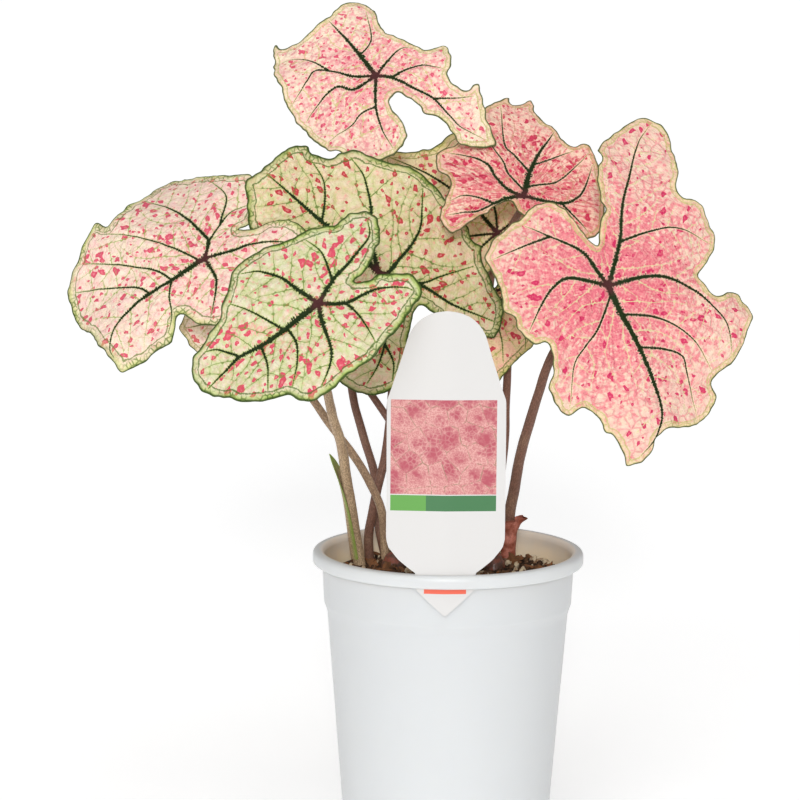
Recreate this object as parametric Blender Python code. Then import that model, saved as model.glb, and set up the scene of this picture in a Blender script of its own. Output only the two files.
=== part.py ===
"""A potted caladium: nine heart-shaped leaves on long stalks, the two tubers that they grow from,
potting soil, a white nursery pot, and a plain plant label that stands in a slot of the pot's rim.

The origin is the middle of the pot's base and +Z is up. The label is on the -Y side.
Sizes are in millimetres, and MM turns them into Blender's metres.
"""

import math
from collections import namedtuple

import bpy
from mathutils import Vector, noise
from mathutils.geometry import delaunay_2d_cdt

MM = 0.001
CLEARANCE = 0.35

# Pot
POT_HEIGHT = 124.0
RIM_RADIUS = 57.0
RIM_DEPTH = 5.5
COLLAR_RADIUS = 52.95
STEP_HEIGHT = 97.5
STEP_RADIUS = 50.75
BASE_RADIUS = 42.9
WALL = 1.15
FLOOR = 1.6
POT_SIDES = 48
DRAIN_HOLES = 6
DRAIN_CIRCLE = 32.0
DRAIN_RADIUS = 4.0

# Soil
SOIL_EDGE = 112.0
SOIL_MOUND = 3.6
SOIL_LUMPS = 1.2
LUMP_SIZE = 11.0
SOIL_RINGS = (0.16, 0.36, 0.56, 0.76, 0.92, 1.0)

# Label
LABEL_MIDDLE = -2.0
LABEL_FRONT = -54.1
LABEL_FOLD = 0.075
LABEL_THICKNESS = 0.6
SLOT_HALF_WIDTH = 12.5

# Leaves and stalks
BLADE = 0.9
RIB = 0.9
RIB_FADE = 75.0
RIB_SINK = 0.25
MARGIN_STEP = 5.6
VEIN_STEP = 6.5
FILL_STEP = 7.4
STALK_STEP = 13.0
STALK_NECK = 1.5
NECK_LENGTH = 12.0
FOOT_TILT = 0.3

# Tubers
CROWN_HEIGHT = 104.0
CROWN_RADIUS = 12.0
TUBER_RADIUS = 15.5
TUBER_DEPTH = 24.0
TUBER_SIDES = 24

Leaf = namedtuple(
    "Leaf", "junction turn lean spin droop fold wave foot stalk outline veins twist", defaults=(0.0,)
)
# junction: where the stalk meets the blade. turn, lean and spin: degrees that the upper face turns to
# the right, leans up, and that the midrib swings from straight down. droop: how far the tip, the back
# lobes and the sides bend back at 50, 40 and 40 from the junction. fold: rise beside the midrib.
# wave: height, count and phase of the waves round the margin. foot: the stalk's radius in the soil.
# stalk: where it leaves the tuber, then the places that it passes on its way to the junction.
# outline and veins: (across, along the midrib) from the junction. twist: how far the back lobes turn
# out of the plane, one back and the other forward.

LEAVES = {
    "far_left": Leaf(
        junction=(-103, 11, 245), turn=-22, lean=35, spin=-22,
        droop=(7, 5, 5), fold=2.0, wave=(2.0, 5, 0.6), foot=1.9,
        stalk=[(-26, 21), (-27, 19, 126), (-28, 16, 137), (-31, 14, 145), (-37, 11, 157),
               (-43, 9, 166), (-50, 8, 175), (-56, 8, 184), (-69, 12, 201), (-84, 18, 221)],
        outline=[(5, 59), (13, 57), (23, 53), (33, 50), (45, 47), (53, 41), (58, 37), (60, 30),
                 (61, 21), (63, 13), (63, 7), (61, 5), (54, 5), (56, -4), (57, -11), (56, -19),
                 (58, -26), (51, -33), (35, -37), (21, -40), (11, -44), (3, -41), (-5, -33), (-9, -23),
                 (-5, -18), (-11, -21), (-16, -27), (-21, -30), (-31, -31), (-37, -27), (-39, -17),
                 (-37, -4), (-35, 9), (-29, 20), (-20, 26), (-10, 26), (-7, 26), (-6, 28), (-9, 36),
                 (-9, 39), (-2, 51), (2, 56)],
        veins=[[(0, 0), (7, 15), (13, 24), (18, 35), (19, 44), (16, 52), (11, 55)],
               [(0, 0), (3, -7), (7, -9), (21, -13), (34, -15), (46, -15)],
               [(3, -7), (4, -16), (4, -24), (2, -28)],
               [(4, -16), (11, -29), (21, -33)],
               [(1, 2), (11, 2), (25, 3), (39, 5), (51, 8)],
               [(7, 15), (15, 14), (27, 16), (47, 21)],
               [(13, 24), (21, 24), (34, 28), (50, 34)],
               [(0, 0), (-10, 5), (-13, 8), (-16, 13), (-19, 21)],
               [(0, 0), (-10, -8), (-19, -16), (-31, -22)],
               [(7, 15), (3, 22), (-3, 29), (-5, 35)]],
        twist=8.0),
    "upper_middle": Leaf(
        junction=(-30, 16, 239), turn=10, lean=6, spin=-132,
        droop=(5, 6, 4), fold=2.0, wave=(2.2, 5, 2.0), foot=2.1,
        stalk=[(-32, 26), (-34, 24, 123), (-32, 23, 135), (-30, 23, 146), (-27, 24, 158),
               (-25, 26, 175), (-24, 29, 196), (-26, 31, 217)],
        outline=[(0, 65), (13, 64), (21, 57), (20, 53), (23, 47), (28, 45), (33, 41), (37, 30),
                 (41, 23), (44, 11), (43, -1), (42, -9), (41, -17), (38, -21), (38, -27), (34, -31),
                 (29, -43), (27, -51), (23, -55), (17, -58), (12, -57), (6, -45), (3, -33), (1, -23),
                 (-9, -27), (-19, -34), (-29, -39), (-36, -37), (-44, -29), (-45, -20), (-47, -10),
                 (-46, 3), (-42, 19), (-36, 33), (-30, 45), (-23, 52), (-17, 59), (-9, 67)],
        veins=[[(0, 0), (0, 16), (0, 32), (0, 49), (0, 62)],
               [(0, 0), (2, -3), (10, -3), (18, -3), (26, -1), (33, 4), (39, 9)],
               [(0, 32), (8, 37), (14, 43), (17, 52)],
               [(0, 0), (9, 13), (17, 19), (23, 26), (27, 32), (29, 40)],
               [(0, 0), (8, -18), (11, -33), (17, -49)],
               [(4, -9), (9, -17), (16, -21), (24, -26)],
               [(0, 0), (-9, -13), (-21, -22), (-29, -26), (-38, -28)],
               [(-21, -22), (-24, -30), (-30, -35)],
               [(0, 16), (-9, 25), (-18, 34), (-24, 46)],
               [(0, 8), (-15, 9), (-32, 6), (-42, 3)]]),
    "front": Leaf(
        junction=(-53, -64, 235), turn=-8, lean=30, spin=-48,
        droop=(8, 4, 4), fold=2.5, wave=(1.8, 5, 4.0), foot=2.6,
        stalk=[(-36, 18), (-39, 15, 124), (-41, 8, 140), (-43, 0, 154), (-45, -12, 171),
               (-48, -22, 182), (-50, -32, 194), (-53, -44, 210), (-54, -51, 222)],
        outline=[(5, 57), (13, 56), (18, 51), (20, 43), (22, 34), (28, 26), (35, 17), (36, 10), (35, 3),
                 (30, -9), (28, -18), (24, -26), (25, -33), (23, -39), (20, -41), (15, -41), (6, -35),
                 (-1, -23), (-2, -17), (-5, -21), (-6, -27), (-14, -36), (-22, -35), (-26, -25),
                 (-29, -19), (-31, -10), (-33, -1), (-32, 6), (-32, 22), (-28, 30), (-22, 34),
                 (-16, 45), (-6, 51), (1, 55)],
        veins=[[(0, 0), (0, 14), (1, 25), (4, 37), (4, 45), (4, 54)],
               [(0, 0), (4, -10), (7, -22), (11, -33), (17, -37)],
               [(4, -10), (16, -14), (23, -13)],
               [(0, 0), (-7, -8), (-10, -21), (-16, -30), (-19, -32)],
               [(-7, -8), (-14, -9), (-23, -8), (-28, -7)],
               [(0, 0), (10, 3), (19, 5), (27, 10), (30, 14)],
               [(0, 17), (8, 20), (16, 23), (23, 27)],
               [(4, 37), (8, 39), (13, 42), (16, 46)],
               [(0, 0), (-8, 4), (-19, 8), (-24, 13), (-28, 20)],
               [(0, 16), (-8, 17), (-15, 22), (-21, 29)],
               [(2, 28), (-7, 31), (-14, 36)]]),
    "low_right": Leaf(
        junction=(19, 42, 228), turn=10, lean=10, spin=-16,
        droop=(5, 5, 4), fold=2.0, wave=(1.5, 5, 1.0), foot=1.6,
        stalk=[(16, 18), (14, 22, 132), (15, 29, 148), (16, 38, 173), (17, 48, 202)],
        outline=[(-1, 54), (-7, 47), (-13, 37), (-18, 27), (-23, 18), (-27, 8), (-28, -2), (-24, -10),
                 (-16, -14), (-7, -13), (-2, -7), (1, -2), (7, -6), (15, -9), (22, -5), (24, 4),
                 (23, 15), (21, 28), (15, 40), (8, 49)],
        veins=[[(0, 0), (0, 15), (0, 31), (0, 48)],
               [(0, 0), (-10, 6), (-18, 14), (-20, 20)],
               [(0, 8), (-8, 17), (-12, 27)],
               [(0, 23), (-5, 31), (-7, 40)],
               [(0, 0), (-8, -5), (-19, -6)],
               [(0, 0), (9, 6), (15, 16), (16, 26)],
               [(0, 15), (6, 22), (10, 34)],
               [(0, 0), (9, -1), (17, 1)]]),
    "upper_right": Leaf(
        junction=(31, 24, 271), turn=8, lean=42, spin=154,
        droop=(4, 5, 4), fold=1.5, wave=(2.2, 6, 0.0), foot=2.0,
        stalk=[(20, 25), (22, 27, 131), (23, 31, 150), (25, 38, 167), (25, 43, 175),
               (26, 51, 192), (26, 54, 215), (26, 50, 237), (26, 39, 256)],
        outline=[(0, 43), (-7, 47), (-12, 52), (-15, 57), (-17, 57), (-22, 50), (-25, 53), (-29, 46),
                 (-32, 40), (-34, 30), (-36, 17), (-42, 10), (-41, 3), (-39, -1), (-31, -8), (-30, -20),
                 (-29, -25), (-21, -30), (-16, -23), (-11, -16), (-5, -6), (1, -9), (8, -13), (17, -15),
                 (26, -14), (32, -9), (36, -1), (34, 8), (29, 21), (24, 31), (18, 38), (15, 39),
                 (10, 35), (5, 37)],
        veins=[[(0, 0), (-2, 13), (-2, 25), (-1, 33), (0, 41)],
               [(0, 0), (-7, 0), (-14, 4), (-19, 9), (-25, 11), (-32, 11)],
               [(-1, 3), (-10, 8), (-14, 13), (-20, 18)],
               [(-2, 13), (-11, 19), (-17, 23), (-23, 37)],
               [(0, 0), (-7, -5), (-10, -9), (-15, -15), (-22, -19)],
               [(-10, -9), (-16, -9), (-24, -11), (-28, -15)],
               [(0, 0), (9, 1), (16, 3), (20, 7), (22, 15), (21, 30)],
               [(16, 3), (20, 1), (26, -2)],
               [(-1, 5), (8, 11), (12, 17), (15, 26)],
               [(-2, 18), (4, 24), (10, 31)]]),
    "right": Leaf(
        junction=(64, -22, 238), turn=14, lean=16, spin=2,
        droop=(5, 5, 5), fold=2.5, wave=(2.0, 6, 2.5), foot=2.7,
        stalk=[(26, 16), (26, 17, 133), (28, 14, 146), (30, 10, 161), (34, 5, 178), (38, 0, 193),
               (41, -4, 204), (48, -8, 218), (56, -10, 229)],
        outline=[(-2, 74), (-1, 69), (3, 61), (6, 59), (9, 53), (14, 49), (20, 51), (25, 47), (29, 40),
                 (27, 34), (28, 23), (34, 22), (39, 16), (40, 10), (44, 6), (45, -2), (48, -10),
                 (50, -16), (47, -21), (41, -26), (34, -31), (25, -37), (19, -37), (13, -32), (8, -24),
                 (3, -17), (0, -28), (-2, -32), (-1, -37), (-2, -49), (-5, -55), (-4, -59), (-13, -66),
                 (-23, -72), (-30, -74), (-35, -72), (-39, -67), (-39, -50), (-36, -41), (-38, -36),
                 (-44, -34), (-48, -28), (-51, -20), (-50, -14), (-46, -8), (-41, -3), (-44, 2),
                 (-48, 5), (-58, 4), (-62, 9), (-64, 15), (-62, 21), (-57, 29), (-52, 35), (-45, 39),
                 (-44, 42), (-46, 47), (-43, 54), (-37, 58), (-27, 60), (-21, 60), (-16, 63),
                 (-13, 69), (-8, 73)],
        veins=[[(0, 0), (-4, 11), (-9, 22), (-14, 35), (-18, 48), (-18, 56), (-14, 64), (-8, 70)],
               [(0, 0), (-7, -18), (-11, -34), (-17, -47), (-24, -61), (-29, -67)],
               [(-7, -18), (-17, -21), (-28, -23), (-36, -22), (-45, -18)],
               [(0, 0), (-16, -3), (-27, -2), (-37, 3), (-44, 9), (-51, 18), (-52, 28)],
               [(-5, 12), (-19, 14), (-29, 19), (-37, 26), (-43, 36)],
               [(-11, 26), (-22, 27), (-30, 30), (-32, 37), (-35, 50)],
               [(0, 0), (4, -6), (10, -15), (22, -22), (31, -27)],
               [(22, -22), (32, -19), (44, -15)],
               [(0, 0), (16, -4), (23, -1), (28, 5), (34, 15)],
               [(-1, 3), (6, 17), (12, 24), (17, 31), (19, 44)]]),
    "top": Leaf(
        junction=(-32, 52, 320), turn=-10, lean=36, spin=-139,
        droop=(7, 5, 4), fold=1.5, wave=(2.2, 6, 1.2), foot=1.9,
        stalk=[(-24, 28), (-30, 30, 130), (-31, 31, 149), (-35, 31, 162), (-38, 31, 173),
               (-41, 32, 184), (-44, 36, 212), (-45, 44, 246), (-43, 54, 275), (-38, 62, 300)],
        outline=[(1, 41), (7, 42), (12, 43), (18, 41), (20, 36), (20, 30), (16, 18), (17, 13), (22, 3),
                 (26, -3), (32, -4), (33, -7), (29, -16), (24, -20), (25, -26), (27, -29), (33, -30),
                 (29, -39), (26, -48), (25, -52), (22, -55), (13, -51), (9, -47), (10, -39), (9, -32),
                 (5, -29), (5, -22), (3, -14), (-3, -15), (-4, -26), (-5, -31), (-9, -35), (-13, -36),
                 (-22, -34), (-31, -30), (-34, -21), (-37, -18), (-39, -8), (-39, 4), (-38, 16),
                 (-36, 22), (-34, 30), (-28, 42), (-23, 48), (-21, 43), (-10, 40)],
        veins=[[(0, 0), (1, 20), (1, 32), (1, 39)],
               [(0, 0), (13, 4), (20, 3)],
               [(0, 0), (5, -5), (11, -6), (19, -9), (25, -16)],
               [(0, 0), (5, -6), (9, -15), (13, -24), (14, -34), (15, -41), (20, -50)],
               [(13, -24), (20, -29), (26, -32)],
               [(0, 0), (-9, -13), (-13, -23), (-14, -29)],
               [(-9, -13), (-16, -12), (-22, -14), (-29, -14)],
               [(0, 0), (-8, 6), (-14, 15), (-19, 20), (-25, 17), (-32, 14)],
               [(-14, 15), (-18, 29), (-26, 36)],
               [(0, 0), (-11, 0), (-16, 6), (-23, 6), (-30, 4), (-36, 2)],
               [(0, 13), (9, 17), (15, 29)]]),
    "back": Leaf(
        junction=(21, 57, 252), turn=-6, lean=20, spin=-124,
        droop=(5, 5, 4), fold=1.5, wave=(1.8, 5, 3.0), foot=1.8,
        stalk=[(14, 25), (11, 32, 130), (12, 42, 150), (14, 54, 179), (17, 61, 209),
               (19, 66, 233)],
        outline=[(1, 65), (8, 57), (13, 52), (17, 48), (23, 46), (28, 43), (33, 36), (36, 28),
                 (37, 19), (36, 9), (31, -3), (23, -14), (14, -23), (4, -25), (-4, -21), (-5, -12),
                 (-2, -4), (-11, -7), (-22, -8), (-30, -1), (-33, 11), (-29, 24), (-23, 36), (-16, 46),
                 (-9, 56)],
        veins=[[(0, 0), (4, 17), (5, 40), (2, 61)],
               [(0, 0), (8, 7), (16, 19), (24, 33)],
               [(0, 0), (12, -3), (24, 0), (31, 8)],
               [(0, 0), (5, -11), (9, -19)],
               [(4, 17), (9, 30), (16, 43)],
               [(4, 17), (-3, 26), (-8, 39), (-10, 50)],
               [(0, 0), (-6, 7), (-15, 17), (-23, 30)],
               [(0, 0), (-10, 2), (-22, 1)]]),
    "low_left": Leaf(
        junction=(-82, 24, 219), turn=-20, lean=18, spin=-77,
        droop=(3, 3, 3), fold=1.0, wave=(1.0, 5, 0.0), foot=1.6,
        stalk=[(13, 11), (3, 14, 134), (-8, 20, 150), (-18, 27, 163), (-27, 32, 176),
               (-32, 34, 183), (-44, 38, 198), (-62, 38, 212)],
        outline=[(1, 36), (-4, 34), (-9, 31), (-13, 25), (-18, 15), (-20, 4), (-20, -7), (-15, -14),
                 (-8, -14), (-4, -7), (-1, -3), (3, -8), (6, -14), (13, -14), (18, -7), (21, 3),
                 (21, 14), (18, 24), (12, 31), (6, 34)],
        veins=[[(0, 0), (1, 12), (1, 24), (1, 33)],
               [(1, 12), (-5, 19), (-8, 27)],
               [(1, 12), (8, 18), (14, 25)],
               [(0, 0), (-8, 4), (-15, 9)],
               [(0, 0), (-9, -6), (-15, -9)],
               [(0, 0), (10, 3), (17, 7)],
               [(0, 0), (6, -5), (11, -9)]]),
}

Tuber = namedtuple("Tuber", "middle bud bud_radius bud_top")
TUBERS = {
    "left": Tuber(middle=(-27, 19), bud=(-22.5, 8), bud_radius=8.0, bud_top=121),
    "right": Tuber(middle=(19, 18), bud=(19.5, 5.5), bud_radius=6.5, bud_top=122),
}

Sheath = namedtuple("Sheath", "leaf start length facing spread flare taper")
# start and length run along the stalk. facing: the way its middle looks. spread: half its angle.
# flare: how far the tip stands off the stalk. taper: the higher, the blunter the tip.
SHEATHS = {
    "front": Sheath("front", 12.0, 54.0, (-0.95, 0.3, 0.0), 105, 3.5, 2.2),
    "right": Sheath("right", 12.0, 18.0, (0.9, -0.45, 0.0), 80, 3.5, 6.0),
}
SHEATH_THICKNESS = 0.8
SHEATH_CLEARANCE = 0.6

WHITE = ((0.74, 0.75, 0.76), 0.35)
BROWN_SOIL = ((0.055, 0.032, 0.02), 0.95)
TUBER_SKIN = ((0.16, 0.05, 0.03), 0.55)
STALK_SKIN = ((0.16, 0.09, 0.06), 0.5)
SHEATH_GREEN = ((0.22, 0.28, 0.1), 0.5)
SHEATH_RED = ((0.35, 0.1, 0.07), 0.5)
CREAM_GREEN = ((0.72, 0.72, 0.45), 0.5)
CREAM_PINK = ((0.85, 0.58, 0.48), 0.5)
PINK = ((0.85, 0.4, 0.4), 0.5)
BLADE_COLOURS = {
    "front": CREAM_GREEN,
    "upper_middle": CREAM_GREEN,
    "low_right": CREAM_GREEN,
    "right": PINK,
    "upper_right": PINK,
}


def clear_scene():
    for old in list(bpy.data.objects):
        bpy.data.objects.remove(old)


def material(name, finish):
    colour, roughness = finish
    made = bpy.data.materials.new(name)
    made.use_nodes = True
    shader = made.node_tree.nodes["Principled BSDF"]
    shader.inputs["Base Color"].default_value = (*colour, 1)
    shader.inputs["Roughness"].default_value = roughness
    shader.inputs["Metallic"].default_value = 0
    return made


def add_object(name, data, finish=None):
    """Puts a mesh or a curve in the scene. Without a finish it is a cutter."""
    made = bpy.data.objects.new(name, data)
    bpy.context.scene.collection.objects.link(made)
    if finish:
        data.materials.append(material(name, finish))
    else:
        made.hide_render = True
        made.display_type = "WIRE"
    return made


def mesh_of(name, points, faces, edges=()):
    mesh = bpy.data.meshes.new(name)
    mesh.from_pydata([Vector(point) * MM for point in points], edges, faces)
    mesh.shade_smooth()
    mesh.set_sharp_from_angle(angle=math.radians(35))
    return mesh


def cut(target, cutter, operation="DIFFERENCE"):
    modifier = target.modifiers.new(cutter.name, "BOOLEAN")
    modifier.operation = operation
    modifier.object = cutter


def turned(name, profile, sides, middle=(0, 0), finish=None):
    """A solid turned about a vertical axis from a profile that runs up the inside and down the outside."""
    points = [(radius, 0, height) for radius, height in profile]
    edges = [(i, i + 1) for i in range(len(points) - 1)]
    made = add_object(name, mesh_of(name, points, [], edges), finish)
    made.location = (middle[0] * MM, middle[1] * MM, 0)
    screw = made.modifiers.new("Turn", "SCREW")
    screw.steps = screw.render_steps = sides
    screw.use_merge_vertices = True
    screw.merge_threshold = 0.00002
    screw.use_smooth_shade = True
    return made


def curve_through(points, closed=False, steps=10):
    """A dense smooth curve through points in the plane or in space."""
    points = [Vector(point) for point in points]
    count = len(points)
    curve = []
    for i in range(count if closed else count - 1):
        near = [i - 1, i, i + 1, i + 2]
        if closed:
            near = [k % count for k in near]
        else:
            near = [min(max(k, 0), count - 1) for k in near]
        before, start, end, after = (points[k] for k in near)
        for step in range(steps):
            t = step / steps
            bend = 2 * before - 5 * start + 4 * end - after
            twist = 3 * start - before - 3 * end + after
            curve.append(start + 0.5 * t * (end - before + t * (bend + t * twist)))
    return curve if closed else curve + [points[-1]]


def spaced(curve, spacing, closed=False):
    """Points along the curve at even steps of about the spacing."""
    path = curve + [curve[0]] if closed else curve
    reach = [0.0]
    for a, b in zip(path, path[1:]):
        reach.append(reach[-1] + (b - a).length)
    count = max(2, round(reach[-1] / spacing))
    found = []
    k = 0
    for i in range(count if closed else count + 1):
        want = reach[-1] * i / count
        while k < len(path) - 2 and reach[k + 1] < want:
            k += 1
        share = (want - reach[k]) / max(reach[k + 1] - reach[k], 1e-9)
        found.append(path[k].lerp(path[k + 1], share))
    return found


def inside(point, outline):
    crossings = 0
    for a, b in zip(outline, outline[1:] + outline[:1]):
        if (a.y > point.y) != (b.y > point.y):
            crossings += point.x < a.x + (b.x - a.x) * (point.y - a.y) / (b.y - a.y)
    return crossings % 2 == 1


def filling(outline, lines, spacing):
    """Points on a triangular grid inside the outline, clear of it and of the lines."""
    marks = outline + [point for line in lines for point in line]
    low_u, high_u = min(p.x for p in outline), max(p.x for p in outline)
    low_v, high_v = min(p.y for p in outline), max(p.y for p in outline)
    rise = spacing * math.sqrt(3) / 2
    found = []
    for row in range(int((high_v - low_v) / rise) + 1):
        for column in range(int((high_u - low_u) / spacing) + 1):
            point = Vector((low_u + (column + row % 2 / 2) * spacing, low_v + row * rise))
            if inside(point, outline) and all((point - m).length > 0.6 * spacing for m in marks):
                found.append(point)
    return found


def sheet_mesh(name, outline, lines, spacing, upper, lower):
    """A closed thin sheet. upper and lower place a point of the plane on each face."""
    count = len(outline)
    points = list(outline)
    edges = [(i, (i + 1) % count) for i in range(count)]
    for line in lines:
        edges += [(i, i + 1) for i in range(len(points), len(points) + len(line) - 1)]
        points += line
    if spacing:
        points += filling(outline, lines, spacing)
    flat, _, triangles, _, _, _ = delaunay_2d_cdt(points, edges, [], 1, 0.01)
    size = len(flat)
    ring = {}
    for triangle in triangles:
        for a, b in zip(triangle, triangle[1:] + triangle[:1]):
            ring[a, b] = (b, a) not in ring
            if not ring[a, b]:
                ring[b, a] = False
    walls = [(b, a, a + size, b + size) for (a, b), free in ring.items() if free]
    under = [tuple(size + i for i in reversed(triangle)) for triangle in triangles]
    places = [upper(p.x, p.y) for p in flat] + [lower(p.x, p.y) for p in flat]
    return mesh_of(name, places, [*triangles, *under, *walls])


def blade_frame(leaf):
    """The ways across the blade, along its midrib and out of its upper face."""
    turn, lean, spin = (math.radians(angle) for angle in (leaf.turn, leaf.lean, leaf.spin))
    face = Vector((math.sin(turn) * math.cos(lean), -math.cos(turn) * math.cos(lean), math.sin(lean)))
    down = Vector((math.sin(turn) * math.sin(lean), -math.cos(turn) * math.sin(lean), -math.cos(lean)))
    side = Vector((math.cos(turn), math.sin(turn), 0))
    along = down * math.cos(spin) + side * math.sin(spin)
    return along.cross(face), along, face


def lift(leaf, u, v):
    """How far the blade stands out of its plane at a point."""
    tip, lobes, sides = leaf.droop
    height, count, phase = leaf.wave
    bend = tip * (max(v, 0) / 50) ** 2 + lobes * (max(-v, 0) / 40) ** 2 + sides * (u / 40) ** 2
    fold = leaf.fold * abs(u) / (abs(u) + 10)
    edge = min(math.hypot(u, v) / 45, 1.3) ** 2
    turn = leaf.twist * (u / 40) * (max(-v, 0) / 40)
    return fold - bend - turn + height * edge * math.sin(count * math.atan2(u, v) + phase)


def on_blade(leaf, u, v, depth=0.0):
    """The place of a blade's point, depth below its upper face."""
    across, along, face = blade_frame(leaf)
    return Vector(leaf.junction) + across * u + along * v + face * (lift(leaf, u, v) - depth)


def leaf_blade(name, leaf, finish):
    """A thin waved blade with its main veins standing out below as ribs."""
    outline = spaced(curve_through(leaf.outline, closed=True), MARGIN_STEP, closed=True)
    lines = [spaced(curve_through(vein), VEIN_STEP) for vein in leaf.veins]
    marks = [point for line in lines for point in line]

    def rib(u, v):
        if min((Vector((u, v)) - mark).length for mark in marks) > 0.5:
            return 0.0
        return RIB * max(0.25, 1 - math.hypot(u, v) / RIB_FADE)

    def upper(u, v):
        return on_blade(leaf, u, v, RIB_SINK * rib(u, v))

    def lower(u, v):
        return on_blade(leaf, u, v, BLADE + rib(u, v))

    mesh = sheet_mesh(name, outline, lines, FILL_STEP, upper, lower)
    return add_object(name, mesh, finish)


def stalk_route(leaf):
    """The stalk's centre line, from the tuber's crown to just under the blade."""
    face = blade_frame(leaf)[2]
    junction = Vector(leaf.junction)
    x, y = leaf.stalk[0]
    foot = Vector((x, y, CROWN_HEIGHT + CLEARANCE + FOOT_TILT * leaf.foot))
    ends = [junction - face * NECK_LENGTH, junction - face * (BLADE + RIB + CLEARANCE)]
    return curve_through([foot] + [Vector(point) for point in leaf.stalk[1:]] + ends)


def tube(name, route, radii, finish=None):
    data = bpy.data.curves.new(name, "CURVE")
    data.dimensions = "3D"
    data.bevel_depth = MM
    data.bevel_resolution = 2
    data.use_fill_caps = True
    spline = data.splines.new("POLY")
    spline.points.add(len(route) - 1)
    for point, place, radius in zip(spline.points, route, radii):
        point.co = (*(place * MM), 1)
        point.radius = radius
    return add_object(name, data, finish)


def stalk_radius(leaf, share):
    """The radius of the stalk at a share of its length from the foot."""
    return STALK_NECK + (leaf.foot - STALK_NECK) * (1 - share)


def stalk(name, leaf, finish):
    route = spaced(stalk_route(leaf), STALK_STEP)
    last = len(route) - 1
    return tube(name, route, [stalk_radius(leaf, i / last) for i in range(last + 1)], finish)


def stalk_hole(name, leaf):
    """A cutter as wide as the stalk's foot and its clearance, from the crown to above the soil."""
    route = spaced(stalk_route(leaf), STALK_STEP / 3)
    route = [route[0] - Vector((0, 0, 1))] + [p for p in route[1:] if p.z < SOIL_EDGE + 16]
    guide = tube(name + "_guide", route, [leaf.foot + CLEARANCE + 0.1] * len(route))
    solid = bpy.data.meshes.new_from_object(guide)
    bpy.data.objects.remove(guide)
    return add_object(name, solid)


def sheath(name, form, finish):
    """A pointed half-tube that wraps the foot of a stalk and opens towards its tip."""
    rows, columns = 9, 8
    leaf = LEAVES[form.leaf]
    route = spaced(stalk_route(leaf), 1.0)
    points = []
    for row in range(rows + 1):
        share = row / rows
        here = round(form.start + share * form.length)
        tangent = (route[here + 1] - route[here - 1]).normalized()
        facing = Vector(form.facing)
        facing = (facing - tangent * facing.dot(tangent)).normalized()
        beside = tangent.cross(facing)
        near = stalk_radius(leaf, here / len(route)) + SHEATH_CLEARANCE + form.flare * share**5
        half = math.radians(form.spread) * (1 - share**form.taper) + 0.12
        for wall in (near, near + SHEATH_THICKNESS):
            for column in range(columns + 1):
                angle = half * (2 * column / columns - 1)
                away = facing * math.cos(angle) + beside * math.sin(angle)
                points.append(route[here] + away * wall)
    width = columns + 1
    faces = []
    for row in range(rows):
        inner, outer = 2 * row * width, (2 * row + 1) * width
        ahead = 2 * width
        for column in range(columns):
            i, o = inner + column, outer + column
            faces.append((i, i + ahead, i + ahead + 1, i + 1))
            faces.append((o, o + 1, o + ahead + 1, o + ahead))
        last_i, last_o = inner + columns, outer + columns
        faces.append((inner, outer, outer + ahead, inner + ahead))
        faces.append((last_i, last_i + ahead, last_o + ahead, last_o))
    top = 2 * rows * width
    for column in range(columns):
        faces.append((column, column + 1, column + 1 + width, column + width))
        faces.append((top + column, top + column + width, top + column + 1 + width, top + column + 1))
    return add_object(name, mesh_of(name, points, faces), finish)


def tuber_profile(clearance=0.0):
    """From the middle of the flat crown down the rounded side to the middle of the underside."""
    rings = 8
    crown = CROWN_HEIGHT + clearance
    profile = [(0, crown)]
    first = math.asin(CROWN_RADIUS / TUBER_RADIUS)
    for ring in range(rings):
        angle = first + (math.pi - first) * ring / rings
        fall = (math.cos(first) - math.cos(angle)) / (1 + math.cos(first))
        height = crown - (TUBER_DEPTH + 2 * clearance) * fall
        profile.append((TUBER_RADIUS * math.sin(angle) + clearance, height))
    return profile + [(0, CROWN_HEIGHT - TUBER_DEPTH - clearance)]


def bud(name, form, clearance=0.0):
    """A blunt shoot that stands out of the soil on the tuber's crown."""
    sides, rings = 12, 8
    low = CROWN_HEIGHT - 3
    radius = form.bud_radius + clearance
    profile = [(0, form.bud_top + clearance)]
    for ring in range(1, rings):
        angle = math.pi / 2 * ring / (rings - 1)
        height = low + (form.bud_top + clearance - low) * math.cos(angle)
        profile.append((radius * math.sin(angle) ** 0.8, height))
    return turned(name, profile + [(0, low)], sides, form.bud)


def tuber(name, form, finish):
    made = turned(name, tuber_profile(), TUBER_SIDES, form.middle, finish)
    cut(made, bud(name + "_bud", form), "UNION")
    return made


def wall_radius(height):
    """The outer radius of the pot's wall under its rim."""
    if height >= STEP_HEIGHT + 4:
        return COLLAR_RADIUS - (POT_HEIGHT - RIM_DEPTH - height) * 0.052
    share = min(height / STEP_HEIGHT, 1)
    return BASE_RADIUS + (STEP_RADIUS - BASE_RADIUS) * share


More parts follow.
